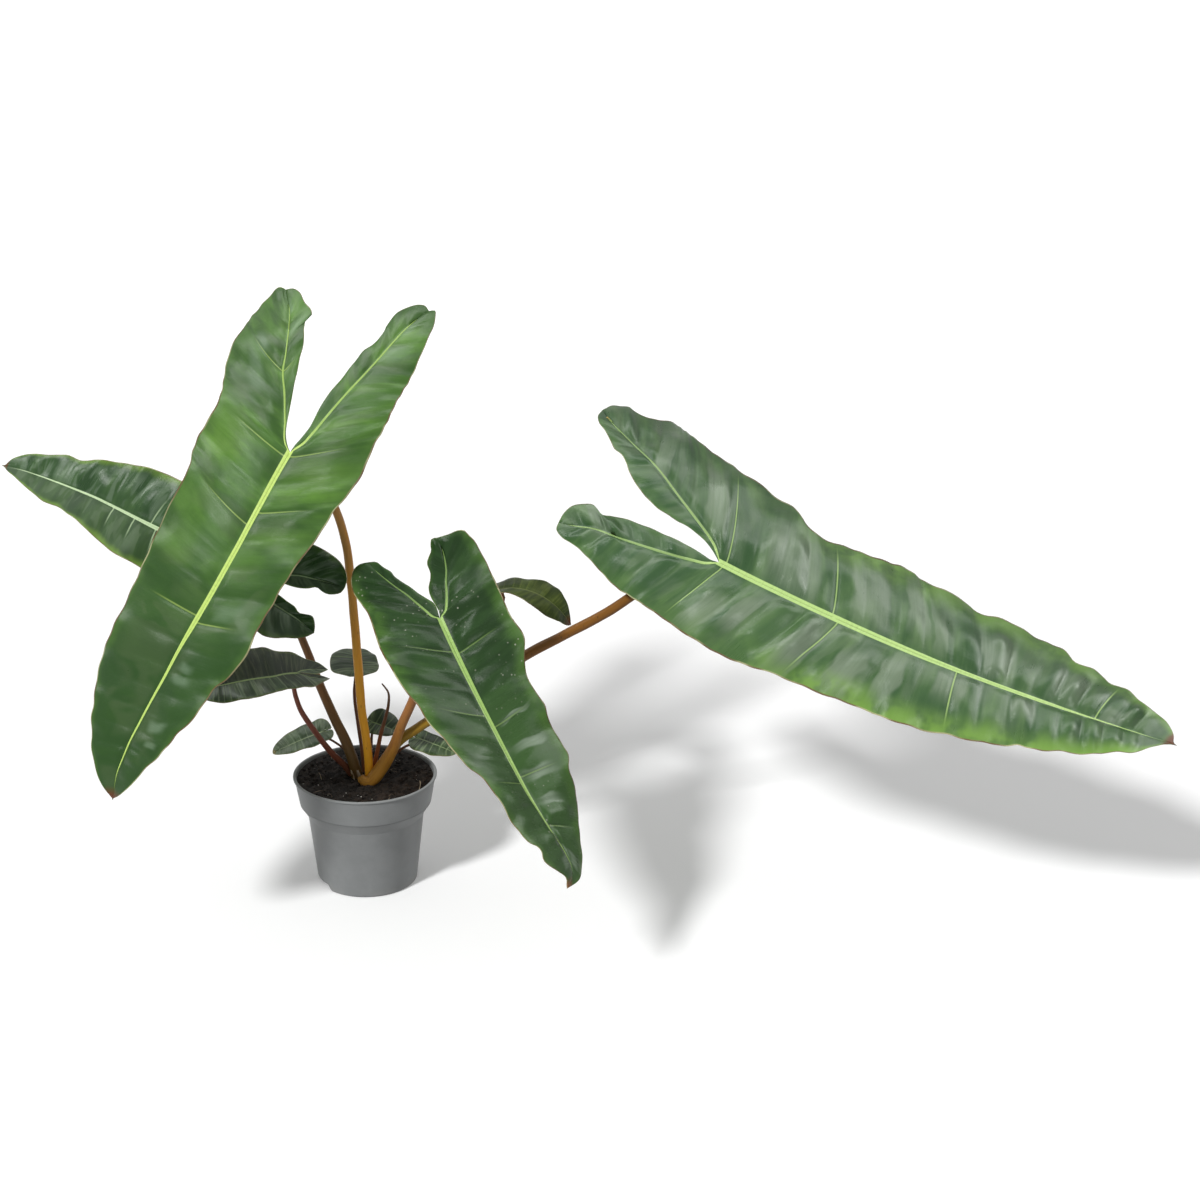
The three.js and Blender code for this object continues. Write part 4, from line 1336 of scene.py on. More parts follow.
@dataclass(frozen=True)
class Scrap:
    """One dry scrap of an old sheath: a torn, curled strip that narrows upwards.

    Attributes:
        at: the middle of its curl, in millimetres.
        curl: the curl's radius.
        facing: which way it bulges, in degrees.
        spread: how much of a turn it takes up, in degrees.
        foot: how high its lower edge is.
        tall: its height.
    """

    COLUMNS = 17
    ROWS = 23

    at: tuple[float, float]
    curl: float
    facing: float
    spread: float
    foot: float
    tall: float

    def corner(self, number: int, row: int, column: int) -> Corner:
        """Places one corner.

        Args:
            number: the scrap's number, which its tears are drawn from.
            row: the row, from the foot up.
            column: the column.

        Returns:
            The corner's place.
        """
        up, across = row / (self.ROWS - 1), column / (self.COLUMNS - 1) - 0.5
        tear = 0.12 * lumps(Vector((column * 3.0, number * 20, 0)), 9.0)
        torn = self.tall * (1 - 0.35 * abs(across) ** 1.2 + tear)
        turn = math.radians(self.facing + self.spread * across * (1 - 0.45 * up))
        out = self.curl * (0.55 + 0.12 * up + 0.05 * lumps(Vector((row, column, number * 9.0)), 5.0))
        lean = 0.16 * self.tall * up * up
        front = Vector((math.cos(math.radians(self.facing)), math.sin(math.radians(self.facing)), 0.0))
        centre = Vector((*self.at, 0.0)) - front * (self.curl * 0.5 - lean)
        return (centre + Vector((out * math.cos(turn), out * math.sin(turn), self.foot + torn * up))) * MM, {}


SCRAPS = (
    Scrap((-3.5, -10.0), 5.5, 240.0, 85.0, 91.5, 11.5),
    Scrap((-9.0, -4.0), 6.0, 190.0, 90.0, 91.5, 8.0),
    Scrap((7.0, 5.0), 6.0, 60.0, 110.0, 92.0, 10.0),
)


@dataclass
class Ground:
    """The potting mix: a lumpy bed with crumbs, pale specks and loose fibres, and the plant's crown in it.

    Lengths are in millimetres.

    Attributes:
        level: the bed's height.
        radius: its radius.
        crown_at: the crown's middle.
        crown_radius: the crown's radius.
        crown_foot: the height of the crown's foot.
        crown_top: the height of its top.
        crumbs: how many crumbs there are.
        specks: how many pale specks.
        fibres: how many loose fibres.
    """

    level: float = 92.2
    radius: float = 57.7
    crown_at: tuple[float, float] = (1.0, -3.0)
    crown_radius: float = 10.5
    crown_foot: float = 78.0
    crown_top: float = 95.0
    crumbs: int = 620
    specks: int = 26
    fibres: int = 12

    def height(self, x: float, y: float) -> float:
        """The bed's height at a place, in millimetres."""
        here = Vector((x, y, 0.0))
        swell = 0.9 * (math.sin(0.21 * x + 1.3) * math.cos(0.26 * y - 0.4) + 0.7 * math.sin(0.47 * x - 0.39 * y))
        rough = 0.75 * lumps(here, 6.5, 2.0) + 0.55 * lumps(here, 2.6, 5.0)
        from_wall = self.radius - math.hypot(x, y)
        return self.level + 0.03 * y + (swell + rough) * smooth(-1.0, 5.0, from_wall) - 0.6

    def bed(self) -> bpy.types.Object:
        """Builds the bed as a closed, lumpy disc.

        Returns:
            The bed's object.
        """
        bm = bmesh.new()
        rings, around = 56, 150

        def corner(row: int, column: int) -> Corner:
            """Places one corner: the last ring is the disc's side, let down into the pot."""
            turn = 2 * math.pi * column / around
            out = self.radius * min(1.0, row / (rings - 2))
            x, y = out * math.cos(turn), out * math.sin(turn)
            low = row == rings - 1
            shrink = 0.965 if low else 1.0
            return Vector((x * shrink, y * shrink, 84.0 if low else self.height(x, y))) * MM, {}

        sheet(bm, around + 1, rings, corner, {})
        bmesh.ops.remove_doubles(bm, verts=bm.verts, dist=0.02 * MM)
        bmesh.ops.holes_fill(bm, edges=[edge for edge in bm.edges if edge.is_boundary], sides=0)
        bmesh.ops.recalc_face_normals(bm, faces=bm.faces)
        finish = LooseFinish("potting_mix", (0.006, 0.0044, 0.0032), (0.024, 0.016, 0.011), 170.0)
        return finish_piece("soil_bed", bm, [finish.material()], ["soil"])

    def scatter(self, name: str, count: int, sizes: tuple[float, float], finish: LooseFinish,
                seed: int) -> bpy.types.Object:
        """Strews small broken lumps over the bed.

        Args:
            name: the piece's name.
            count: how many lumps.
            sizes: the smallest and largest radius in millimetres.
            finish: their finish.
            seed: what their places are drawn from.

        Returns:
            The lumps as one object.
        """
        pick = random.Random(seed)
        bm = bmesh.new()
        for _ in range(count):
            turn, out = pick.uniform(0, 2 * math.pi), (self.radius - 3.0) * math.sqrt(pick.uniform(0.0, 1.0))
            x, y = out * math.cos(turn), out * math.sin(turn)
            size = sizes[0] + (sizes[1] - sizes[0]) * pick.random() ** 2.2
            made = bmesh.ops.create_icosphere(bm, subdivisions=1, radius=1.0)["verts"]
            stretch = Vector((pick.uniform(0.7, 1.4), pick.uniform(0.6, 1.1), pick.uniform(0.45, 0.8))) * size
            tilt = Matrix.Rotation(pick.uniform(0, 6.3), 3, "Z") @ Matrix.Rotation(pick.uniform(-0.6, 0.6), 3, "X")
            for vertex in made:
                rough = vertex.co * (1 + pick.uniform(-0.22, 0.22))
                local = tilt @ Vector(a * b for a, b in zip(rough, stretch))
                vertex.co = (Vector((x, y, self.height(x, y) + 0.25 * size)) + local) * MM
        bmesh.ops.recalc_face_normals(bm, faces=bm.faces)
        return finish_piece(name, bm, [finish.material()])

    def strew_fibres(self) -> bpy.types.Object:
        """Lays thin bent fibres and a few rootlets over the bed.

        Returns:
            The fibres as one object.
        """
        pick = random.Random(71)
        bm = bmesh.new()
        starts = [(-36.0, -28.0, 12.0, 0.4), (-26.0, -34.0, 9.0, 2.2), (24.0, -36.0, 7.0, 1.0)]
        for _ in range(self.fibres):
            turn, out = pick.uniform(0, 6.3), 50.0 * math.sqrt(pick.random())
            starts.append((out * math.cos(turn), out * math.sin(turn), pick.uniform(5, 15), pick.uniform(0, 6.3)))
        for x, y, size, turn in starts:
            bend = pick.uniform(-0.9, 0.9)
            knots = []
            for i in range(5):
                share = i / 4
                a = turn + bend * (share - 0.5)
                px, py = x + size * (share - 0.5) * math.cos(a), y + size * (share - 0.5) * math.sin(a)
                if math.hypot(px, py) > self.radius - 2:
                    px, py = px * 0.9, py * 0.9
                knots.append((px, py, self.height(px, py) + 0.3 + pick.uniform(0.0, 1.3) * math.sin(math.pi * share)))
            thread(bm, knots, pick.uniform(0.14, 0.3))
        bmesh.ops.recalc_face_normals(bm, faces=bm.faces)
        finish = LooseFinish("dry_fibre", (0.13, 0.09, 0.055), (0.36, 0.29, 0.2), 120.0, 0.85, 0.0003)
        return finish_piece("soil_fibres", bm, [finish.material()])

    def crown(self) -> bpy.types.Object:
        """Builds the short knobbly crown that the stalks leave.

        Returns:
            The crown's object.
        """
        bm = bmesh.new()
        made = bmesh.ops.create_icosphere(bm, subdivisions=5, radius=1.0)["verts"]
        x0, y0 = self.crown_at
        for vertex in made:
            way = vertex.co.normalized()
            rough = 1 + 0.09 * lumps(way * 10, 4.5, 3.0) + 0.04 * lumps(way * 10, 1.5, 6.0)
            ring = 1 + 0.03 * math.sin(way.z * 26.0)
            tall = (self.crown_top - self.crown_foot) / 2
            vertex.co = Vector((x0 + way.x * self.crown_radius * 0.9 * rough * ring,
                                y0 + way.y * self.crown_radius * 0.9 * rough * ring,
                                self.crown_foot + tall * (1 + way.z * 0.98 * min(rough, 1.02)))) * MM
        finish = LooseFinish("crown_bark", (0.055, 0.032, 0.014), (0.17, 0.115, 0.05), 190.0, 0.8, 0.0012)
        return finish_piece("plant_crown", bm, [finish.material()], ["crown"])

    def sheaths(self) -> bpy.types.Object:
        """Builds the dry, papery remains of old sheaths round the stalks' feet.

        Returns:
            The sheaths as one object.
        """
        bm = bmesh.new()
        for number, scrap in enumerate(SCRAPS):
            sheet(bm, Scrap.COLUMNS, Scrap.ROWS, partial(scrap.corner, number), {})
        bmesh.ops.solidify(bm, geom=bm.faces[:], thickness=0.22 * MM)
        bmesh.ops.recalc_face_normals(bm, faces=bm.faces)
        finish = LooseFinish("papery_sheath", (0.26, 0.19, 0.12), (0.6, 0.53, 0.42), 130.0, 0.7, 0.0006)
        return finish_piece("papery_sheaths", bm, [finish.material()])

    def build(self) -> None:
        """Builds the bed and all that lies on it."""
        self.bed()
        self.scatter("soil_crumbs", self.crumbs, (0.5, 2.1),
                     LooseFinish("bark_crumb", (0.007, 0.005, 0.004), (0.03, 0.019, 0.012), 260.0), 11)
        self.scatter("soil_specks", self.specks, (0.35, 0.95),
                     LooseFinish("pale_grit", (0.4, 0.38, 0.34), (0.68, 0.66, 0.61), 400.0, 0.85), 23)
        self.strew_fibres()
        self.crown()
        self.sheaths()


def thread(bm: bmesh.types.BMesh, knots: Knots, radius: float, around: int = 6, parts: int = 12) -> None:
    """Adds a thin round thread with tapered ends.

    Args:
        bm: the mesh that it joins.
        knots: its route in millimetres.
        radius: its radius in millimetres.
        around: corners round it.
        parts: rings along it.
    """
    line = Line(knots, 6)
    frames = transported(line, parts)

    def corner(row: int, column: int) -> Corner:
        """Places one corner of the thread."""
        centre, across, up = frames[row]
        size = radius * (0.15 if row in (0, parts - 1) else 1.0)
        turn = 2 * math.pi * column / around
        return (centre + (across * math.sin(turn) + up * math.cos(turn)) * size) * MM, {}

    made = sheet(bm, around + 1, parts, corner, {})
    bmesh.ops.remove_doubles(bm, verts=made, dist=0.002 * MM)
    ends = {edge for v in made if v.is_valid for edge in v.link_edges if edge.is_boundary}
    bmesh.ops.holes_fill(bm, edges=list(ends), sides=0)


class Green(Enum):
    """The blades' finishes."""

    # Its glints are painted highlights, its washes painted light, and its sheen blots painted sheen and shade.
    FRONT_LEFT = BladeFinish("green_front_left", (0.028, 0.076, 0.013), (0.050, 0.124, 0.020), (0.094, 0.210, 0.032),
                             (0.46, 0.62, 0.15), (0.066, 0.144, 0.026), bands=3.6, streaks=0.2, gloss=0.3,
                             vein_share=0.35, length=3.03, sheen=(0.115, 0.145, 0.075), sheen_share=0.16,
                             sheen_scale=(3.4, 2.0), vein_reach=0.5, end=(0.019, 0.055, 0.012),
                             glint=(0.17, 0.25, 0.16),
                             washes=((0.24, -0.62, 0.26, 0.26, 0.42), (1.10, -0.54, 0.16, 0.20, 0.25),
                                     (0.30, 0.42, 0.18, 0.36, 0.34), (-1.22, 0.00, 0.24, 0.18, 0.28),
                                     (0.80, 0.36, 0.09, 0.30, 0.28)),
                             glints=((1.43, 0.27, 0.07, 0.13, 0.36), (1.89, 0.19, 0.04, 0.10, 0.45),
                                     (2.01, 0.20, 0.05, 0.12, 0.4), (2.39, 0.21, 0.05, 0.09, 0.5),
                                     (2.53, 0.26, 0.03, 0.06, 0.4), (-0.78, -0.31, 0.09, 0.10, 0.45),
                                     (-0.50, -0.41, 0.16, 0.14, 0.35), (-1.37, 0.05, 0.08, 0.07, 0.5),
                                     (-1.09, 0.13, 0.09, 0.10, 0.45), (0.55, -0.25, 0.50, 0.16, 0.16)))
    # Its glints are painted sheen, its sheen blots painted sheen and shade, and its right half is lightened as
    # painted light.
    RIGHT = BladeFinish("green_right", (0.025, 0.068, 0.021), (0.044, 0.098, 0.031), (0.078, 0.148, 0.050),
                        (0.42, 0.60, 0.20), (0.170, 0.32, 0.050), margin_zone=0.42, margin_share=0.8, bands=4.5,
                        streaks=0.42, gloss=0.28, shine=0.42, length=3.88, margin_left=0.7, margin_from=0.5, dim=1.0,
                        shift=(1.2, 1.15, 1.2), sheen=(0.130, 0.175, 0.110), sheen_share=0.2,
                        sheen_scale=(4.4, 1.5), vein_share=0.6, vein_reach=0.75, glint=(0.165, 0.215, 0.145),
                        glint_edge=(1.12, 0.8),
                        glints=((-0.22, 0.45, 0.15, 0.38, 0.7), (0.62, 0.36, 0.27, 0.36, 0.62),
                                (1.33, 0.36, 0.17, 0.34, 0.6), (1.76, 0.50, 0.10, 0.32, 0.6),
                                (1.96, 0.30, 0.07, 0.22, 0.55), (2.43, 0.23, 0.13, 0.22, 0.6),
                                (2.96, 0.21, 0.14, 0.18, 0.6), (3.37, 0.07, 0.10, 0.07, 0.6),
                                (-1.02, 0.20, 0.10, 0.28, 0.55), (0.26, -0.46, 0.11, 0.24, 0.6),
                                (0.48, -0.33, 0.07, 0.20, 0.65), (1.03, -0.38, 0.10, 0.36, 0.65),
                                (1.40, -0.44, 0.10, 0.24, 0.6), (1.68, -0.30, 0.08, 0.20, 0.6),
                                (2.10, -0.19, 0.13, 0.15, 0.6), (2.70, -0.14, 0.10, 0.10, 0.5)))
    # Its glints are painted highlights.
    FRONT_MIDDLE = BladeFinish("green_front_middle", (0.014, 0.036, 0.010), (0.021, 0.052, 0.015),
                               (0.036, 0.080, 0.023), (0.30, 0.46, 0.13), (0.066, 0.145, 0.026), margin_zone=0.3,
                               margin_share=0.8, dust=0.75, vein_share=0.3, gloss=0.24, shine=0.22, length=2.43,
                               streaks=0.25, tip=(0.20, 0.09, 0.03), vein_reach=0.55,
                               end=(0.040, 0.092, 0.024), glint=(0.20, 0.26, 0.185), glint_edge=(1.15, 0.6),
                               glints=((1.30, 0.22, 0.045, 0.15, 0.8), (1.51, 0.19, 0.055, 0.14, 0.85),
                                       (1.73, 0.16, 0.04, 0.13, 0.8), (1.05, 0.20, 0.02, 0.16, 0.7),
                                       (2.19, 0.07, 0.05, 0.05, 0.6), (2.24, -0.06, 0.05, 0.05, 0.5)))
    # Its sheen blots are painted sheen and shade, and its left half is darkened as painted shade.
    BACK_LEFT = BladeFinish("green_back_left", (0.020, 0.054, 0.016), (0.034, 0.080, 0.024), (0.060, 0.122, 0.038),
                            (0.48, 0.62, 0.36), (0.130, 0.23, 0.03), margin_zone=0.2, margin_share=0.8,
                            vein_share=0.55, gloss=0.24, shine=0.42, length=2.2, tip_size=0.012, dim=-0.9,
                            shift=(0.62, 0.68, 0.5), sheen=(0.160, 0.220, 0.150), sheen_share=0.38,
                            sheen_scale=(13.0, 3.0))
    # Its pale streaks are partly its own and partly painted sheen, and its right half is darkened as painted shade.
    LOW_LEFT = BladeFinish("green_low_left", (0.020, 0.045, 0.012), (0.065, 0.120, 0.045), (0.33, 0.41, 0.24),
                           (0.36, 0.48, 0.18), (0.17, 0.25, 0.04), vein_share=0.5, streaks=1.8, length=0.84,
                           shine=0.4, dim=0.9, shift=(0.2, 0.2, 0.14))
    FOLDED_BACK = BladeFinish("green_folded_back", (0.022, 0.036, 0.006), (0.050, 0.075, 0.012),
                              (0.12, 0.15, 0.035), (0.13, 0.16, 0.05), (0.06, 0.08, 0.02), vein_share=0.3,
                              streaks=1.4, shine=0.12, length=0.74)
    SMALL = BladeFinish("green_small", (0.016, 0.036, 0.010), (0.040, 0.074, 0.024), (0.25, 0.33, 0.17),
                        (0.18, 0.25, 0.10), (0.09, 0.12, 0.035), vein_share=0.3, streaks=1.8, shine=0.3,
                        length=0.45, tip=(0.30, 0.24, 0.10), tip_size=0.03)
    SMALL_PALE = BladeFinish("green_small_pale", (0.040, 0.080, 0.028), (0.130, 0.210, 0.095), (0.38, 0.47, 0.30),
                             (0.36, 0.47, 0.22), (0.22, 0.27, 0.07), vein_share=0.4, streaks=1.6, length=0.45,
                             tip=(0.40, 0.33, 0.12), tip_size=0.03)


class Skin(Enum):
    """The stalks' finishes."""

    GOLDEN = StalkFinish("stalk_golden", (0.95, 0.440, 0.018), (0.45, 0.225, 0.065), (0.62, 0.245, 0.022), length=2.8)
    BROWN = StalkFinish("stalk_brown", (0.42, 0.200, 0.024), (0.27, 0.110, 0.036), (0.22, 0.075, 0.018), length=1.5)
    ORANGE = StalkFinish("stalk_orange_olive", (0.28, 0.170, 0.014), (0.18, 0.075, 0.012), (0.12, 0.046, 0.010),
                         length=2.0)
    OLIVE = StalkFinish("stalk_dark_olive", (0.105, 0.062, 0.014), (0.21, 0.090, 0.026), (0.065, 0.032, 0.011),
                        length=1.4)
    RED = StalkFinish("stalk_red_brown", (0.15, 0.052, 0.026), (0.19, 0.052, 0.028), (0.08, 0.024, 0.012),
                      length=1.0)
    DARK = StalkFinish("stalk_near_black", (0.20, 0.075, 0.022), (0.13, 0.050, 0.020), (0.09, 0.032, 0.012),
                       length=0.6)
    SPIKE = StalkFinish("sheath_red", (0.36, 0.110, 0.030), (0.11, 0.050, 0.020), (0.18, 0.060, 0.018), length=0.9)


def front_left() -> Blade:
    """The large blade that hangs at the front left."""
    left = Half(
        Line([(303, 0), (300, 6), (290, 16.5), (280, 22), (270, 27), (260, 32.5), (250, 37), (240, 40.5), (230, 46),
              (220, 49.5), (206, 50), (195, 51), (185, 56), (175, 61), (165, 64), (157, 65), (149, 64), (140, 61.5),
              (122, 60), (105, 61), (90, 63.5), (75, 64.5), (60, 63.5), (45, 63.5), (30, 64.5), (20, 67), (10, 69),
              (-1, 68.5), (-12, 66.5), (-20, 64.5), (-32, 62), (-50, 62.5), (-60, 61.5), (-70, 59), (-85, 55.5),
              (-100, 53), (-120, 49), (-130, 46.5), (-140, 43.5), (-150, 39.5), (-158, 35), (-163.5, 30),
              (-161, 26)]),
        Line([(0, 1.5), (-8, 1.5), (-15, 3), (-25, 4), (-35, 3), (-45, 1), (-55, 0.7), (-80, 2), (-97, 1.5),
              (-105, 2), (-112, 5), (-120, 6.5), (-126, 5.8), (-133, 3), (-142, 2), (-150, 2.5), (-157, 6),
              (-162, 13), (-164, 20), (-161, 26)]),
        Line([(0, 1.5), (-10, 7.5), (-20, 9.8), (-40, 12.5), (-60, 15), (-80, 17.5), (-100, 19), (-120, 20),
              (-135, 20.7), (-152, 23)]),
        (287, 275, 261, 246, 230, 213, 195, 175, 153, 129, 105, 80, 55, 29, 4, -24, -47, -72, -98, -120, -140),
        [(236, 238), (153, 144), (55, 25), (0, -38), (-98, -107)], (153, 55, 4))
    right = Half(
        Line([(303, 0), (301, 5), (297, 13), (290, 23), (280, 32.5), (270, 39.5), (260, 44.5), (250, 49), (243, 51),
              (235, 55), (225, 61), (216, 65.3), (208, 67), (200, 66.5), (190, 65), (178, 64.5), (165, 65.8),
              (150, 68.5), (137, 67), (125, 65), (110, 66.5), (98, 70), (90, 72), (80, 72.5), (70, 70.5), (60, 69),
              (52, 68.5), (45, 70), (35, 76.5), (26, 81), (17, 82.5), (8, 80.5), (-2, 78), (-12, 79), (-20, 82.5),
              (-30, 90.5), (-40, 98.5), (-50, 104.5), (-60, 107.5), (-75, 108.5), (-85, 110), (-95, 115),
              (-103, 117), (-111, 116), (-121, 112), (-129, 106), (-127, 96)]),
        Line([(0, -1.5), (-4, 3.5), (-10, 9), (-20, 14.5), (-30, 18.5), (-40, 23), (-50, 27.5), (-60, 31.5),
              (-70, 36), (-80, 40), (-90, 46), (-100, 54), (-106, 56.5), (-111, 54.5), (-115, 58), (-120, 69),
              (-127, 80), (-129, 88), (-127, 96)]),
        Line([(0, -1.5), (-4, 5), (-20, 16), (-40, 30.5), (-57, 44), (-70, 50), (-80, 56), (-90, 63), (-100, 71),
              (-110, 79), (-118, 86)]),
        (288, 276, 262, 247, 230, 212, 193, 172, 148, 122, 95, 67, 36, 5, -25, -48, -73, -97, -120, -138),
        [(250, 253), (148, 143), (67, 40), (5, -13), (-73, -87)], (148, 67, 5, -73))
    return Blade(
        "front_left", (-48, -50, 393.5), (224, -45.5, -18), 304, (12, 4.5, 14), (63, 74), 16.5, 31,
        ((165, -20), (134, -13)), (3.2, 64, 0.6), (left, right), Green.FRONT_LEFT.value, "leaf_mid",
        midrib=Curve((0, 1.5), (20, 2.3), (60, 4.2), (90, 5.2), (120, 5), (150, 3.6), (180, 1), (200, 0), (220, -2),
                     (240, -4), (262, -6), (280, -6), (303, 0)),
        band=Curve((0, 7), (60, 6), (150, 5.5), (180, 3.5), (220, 2.5), (260, 1.8), (303, 0.5)),
        lobe_band=3.6, columns=26, ridge=3.2, puff=0.8, groove=0.6, crease=0.16, seed=1.3)


def right() -> Blade:
    """The largest blade, held out to the right."""
    left = Half(
        Line([(388, 0), (387, 8), (378, 20), (370, 25), (360, 28.5), (350, 35), (342, 40), (335, 41), (328, 42),
              (320, 48), (312, 51), (303, 49.5), (295, 50.5), (288, 56), (280, 62), (270, 64.5), (258, 67),
              (248, 69), (235, 68.5), (222, 68), (212, 65.5), (203, 68), (194, 73.5), (185, 75.5), (175, 74.5),
              (165, 72.5), (155, 73), (148, 76.5), (140, 82), (134, 84.5), (127, 84), (119, 79), (110, 74.5),
              (100, 71.5), (90, 71.5), (78, 72.5), (69, 70), (60, 68), (50, 68.5), (41, 71.5), (33, 77), (27, 82),
              (19, 86), (10, 87), (0, 87.5), (-10, 90), (-20, 90.5), (-30, 91), (-40, 95.5), (-50, 101),
              (-60, 103.5), (-70, 104.5), (-80, 106), (-90, 109.5), (-100, 115), (-110, 122), (-120, 129),
              (-126, 130.2), (-130, 124.6), (-133, 115), (-138, 108.5), (-145, 107), (-152, 107.5), (-158, 110),
              (-166, 108), (-172, 102), (-173, 91)]),
        Line([(0, -0.5), (-10, 6), (-20, 10.5), (-30, 13), (-40, 14.5), (-50, 14.7), (-60, 16), (-70, 17),
              (-80, 20), (-90, 24), (-100, 29.5), (-110, 36.5), (-118, 44), (-126, 49), (-133, 50.3),
              (-140, 55.5), (-150, 62.5), (-163, 71), (-170, 80), (-173, 91)]),
        Line([(0, -0.5), (-10, 10), (-20, 16), (-30, 21), (-60, 36), (-75, 43.5), (-90, 51), (-105, 58),
              (-120, 64.5), (-135, 69.5), (-150, 74.5), (-163, 81)]),
        (369, 356, 341, 325, 309, 291, 272, 252, 231, 208, 183, 157, 130, 103, 78, 52, 29, 6, -28, -56, -85, -112,
         -138, -160),
        [(325, 337), (270, 270), (208, 176), (103, 72), (52, 24), (6, -40), (-85, -113)], (325, 103, 6))
    right_half = Half(
        Line([(388, 0), (383, 2.5), (375, 8.5), (365, 18), (358, 23.5), (350, 25.5), (340, 30.5), (330, 35),
              (320, 37), (310, 39.5), (300, 44), (290, 46), (278, 45.5), (265, 50), (255, 52), (245, 56),
              (235, 57.5), (226, 56.3), (215, 58), (200, 60), (190, 62.5), (180, 63.8), (170, 62), (160, 60.5),
              (150, 61), (140, 63), (130, 65.3), (120, 64.5), (108, 62.8), (98, 62.5), (88, 63.5), (78, 66),
              (68, 68), (54, 67), (40, 67), (30, 68), (20, 68.5), (10, 67.5), (0, 65.5), (-10, 63), (-20, 62.4),
              (-40, 62), (-50, 60.5), (-60, 58.5), (-70, 56), (-80, 53), (-90, 50), (-100, 46.5), (-110, 42.8),
              (-120, 40.5), (-130, 39), (-137, 35), (-139, 28)]),
        Line([(0, 0.5), (-6, 1.7), (-15, 0.7), (-35, -0.4), (-50, 0), (-65, 0.2), (-80, 1.5), (-92, 2.5),
              (-100, 5.5), (-108, 7.6), (-115, 4.5), (-122, 2), (-130, 5), (-136, 10), (-139, 19), (-139, 28)]),
        Line([(0, 0.5), (-8, 6), (-20, 9.5), (-30, 12), (-45, 15), (-60, 17), (-72, 18.5), (-85, 20), (-110, 22),
              (-122, 25), (-132, 27.5)]),
        (364, 350, 334, 317, 299, 279, 258, 236, 212, 188, 162, 136, 110, 84, 58, 32, 5, -26, -50, -76, -100, -121),
        [(340, 344), (212, 222), (110, 88), (5, -18), (-76, -82)], (212, 110, 5))
    return Blade(
        "right", (292.5, -20, 290.5), (-27.5, -18.5, 37.5), 391, (1, 14, -17), (76, 65), 8, 35,
        ((174, -6), (140, -13)), (3.4, 56, 4.1), (left, right_half), Green.RIGHT.value, "leaf_mid",
        midrib=Curve((0, -0.5), (100, 0), (200, -0.5), (300, 0), (340, 0.3), (388, 0)),
        band=Curve((0, 7), (100, 7), (170, 6), (240, 4), (280, 3.5), (320, 1.7), (350, 1), (388, 0.5)),
        lobe_band=3.4, columns=28, ridge=3.6, puff=2.3, groove=0.8, crease=0.15, step=2.4, seed=2.1)


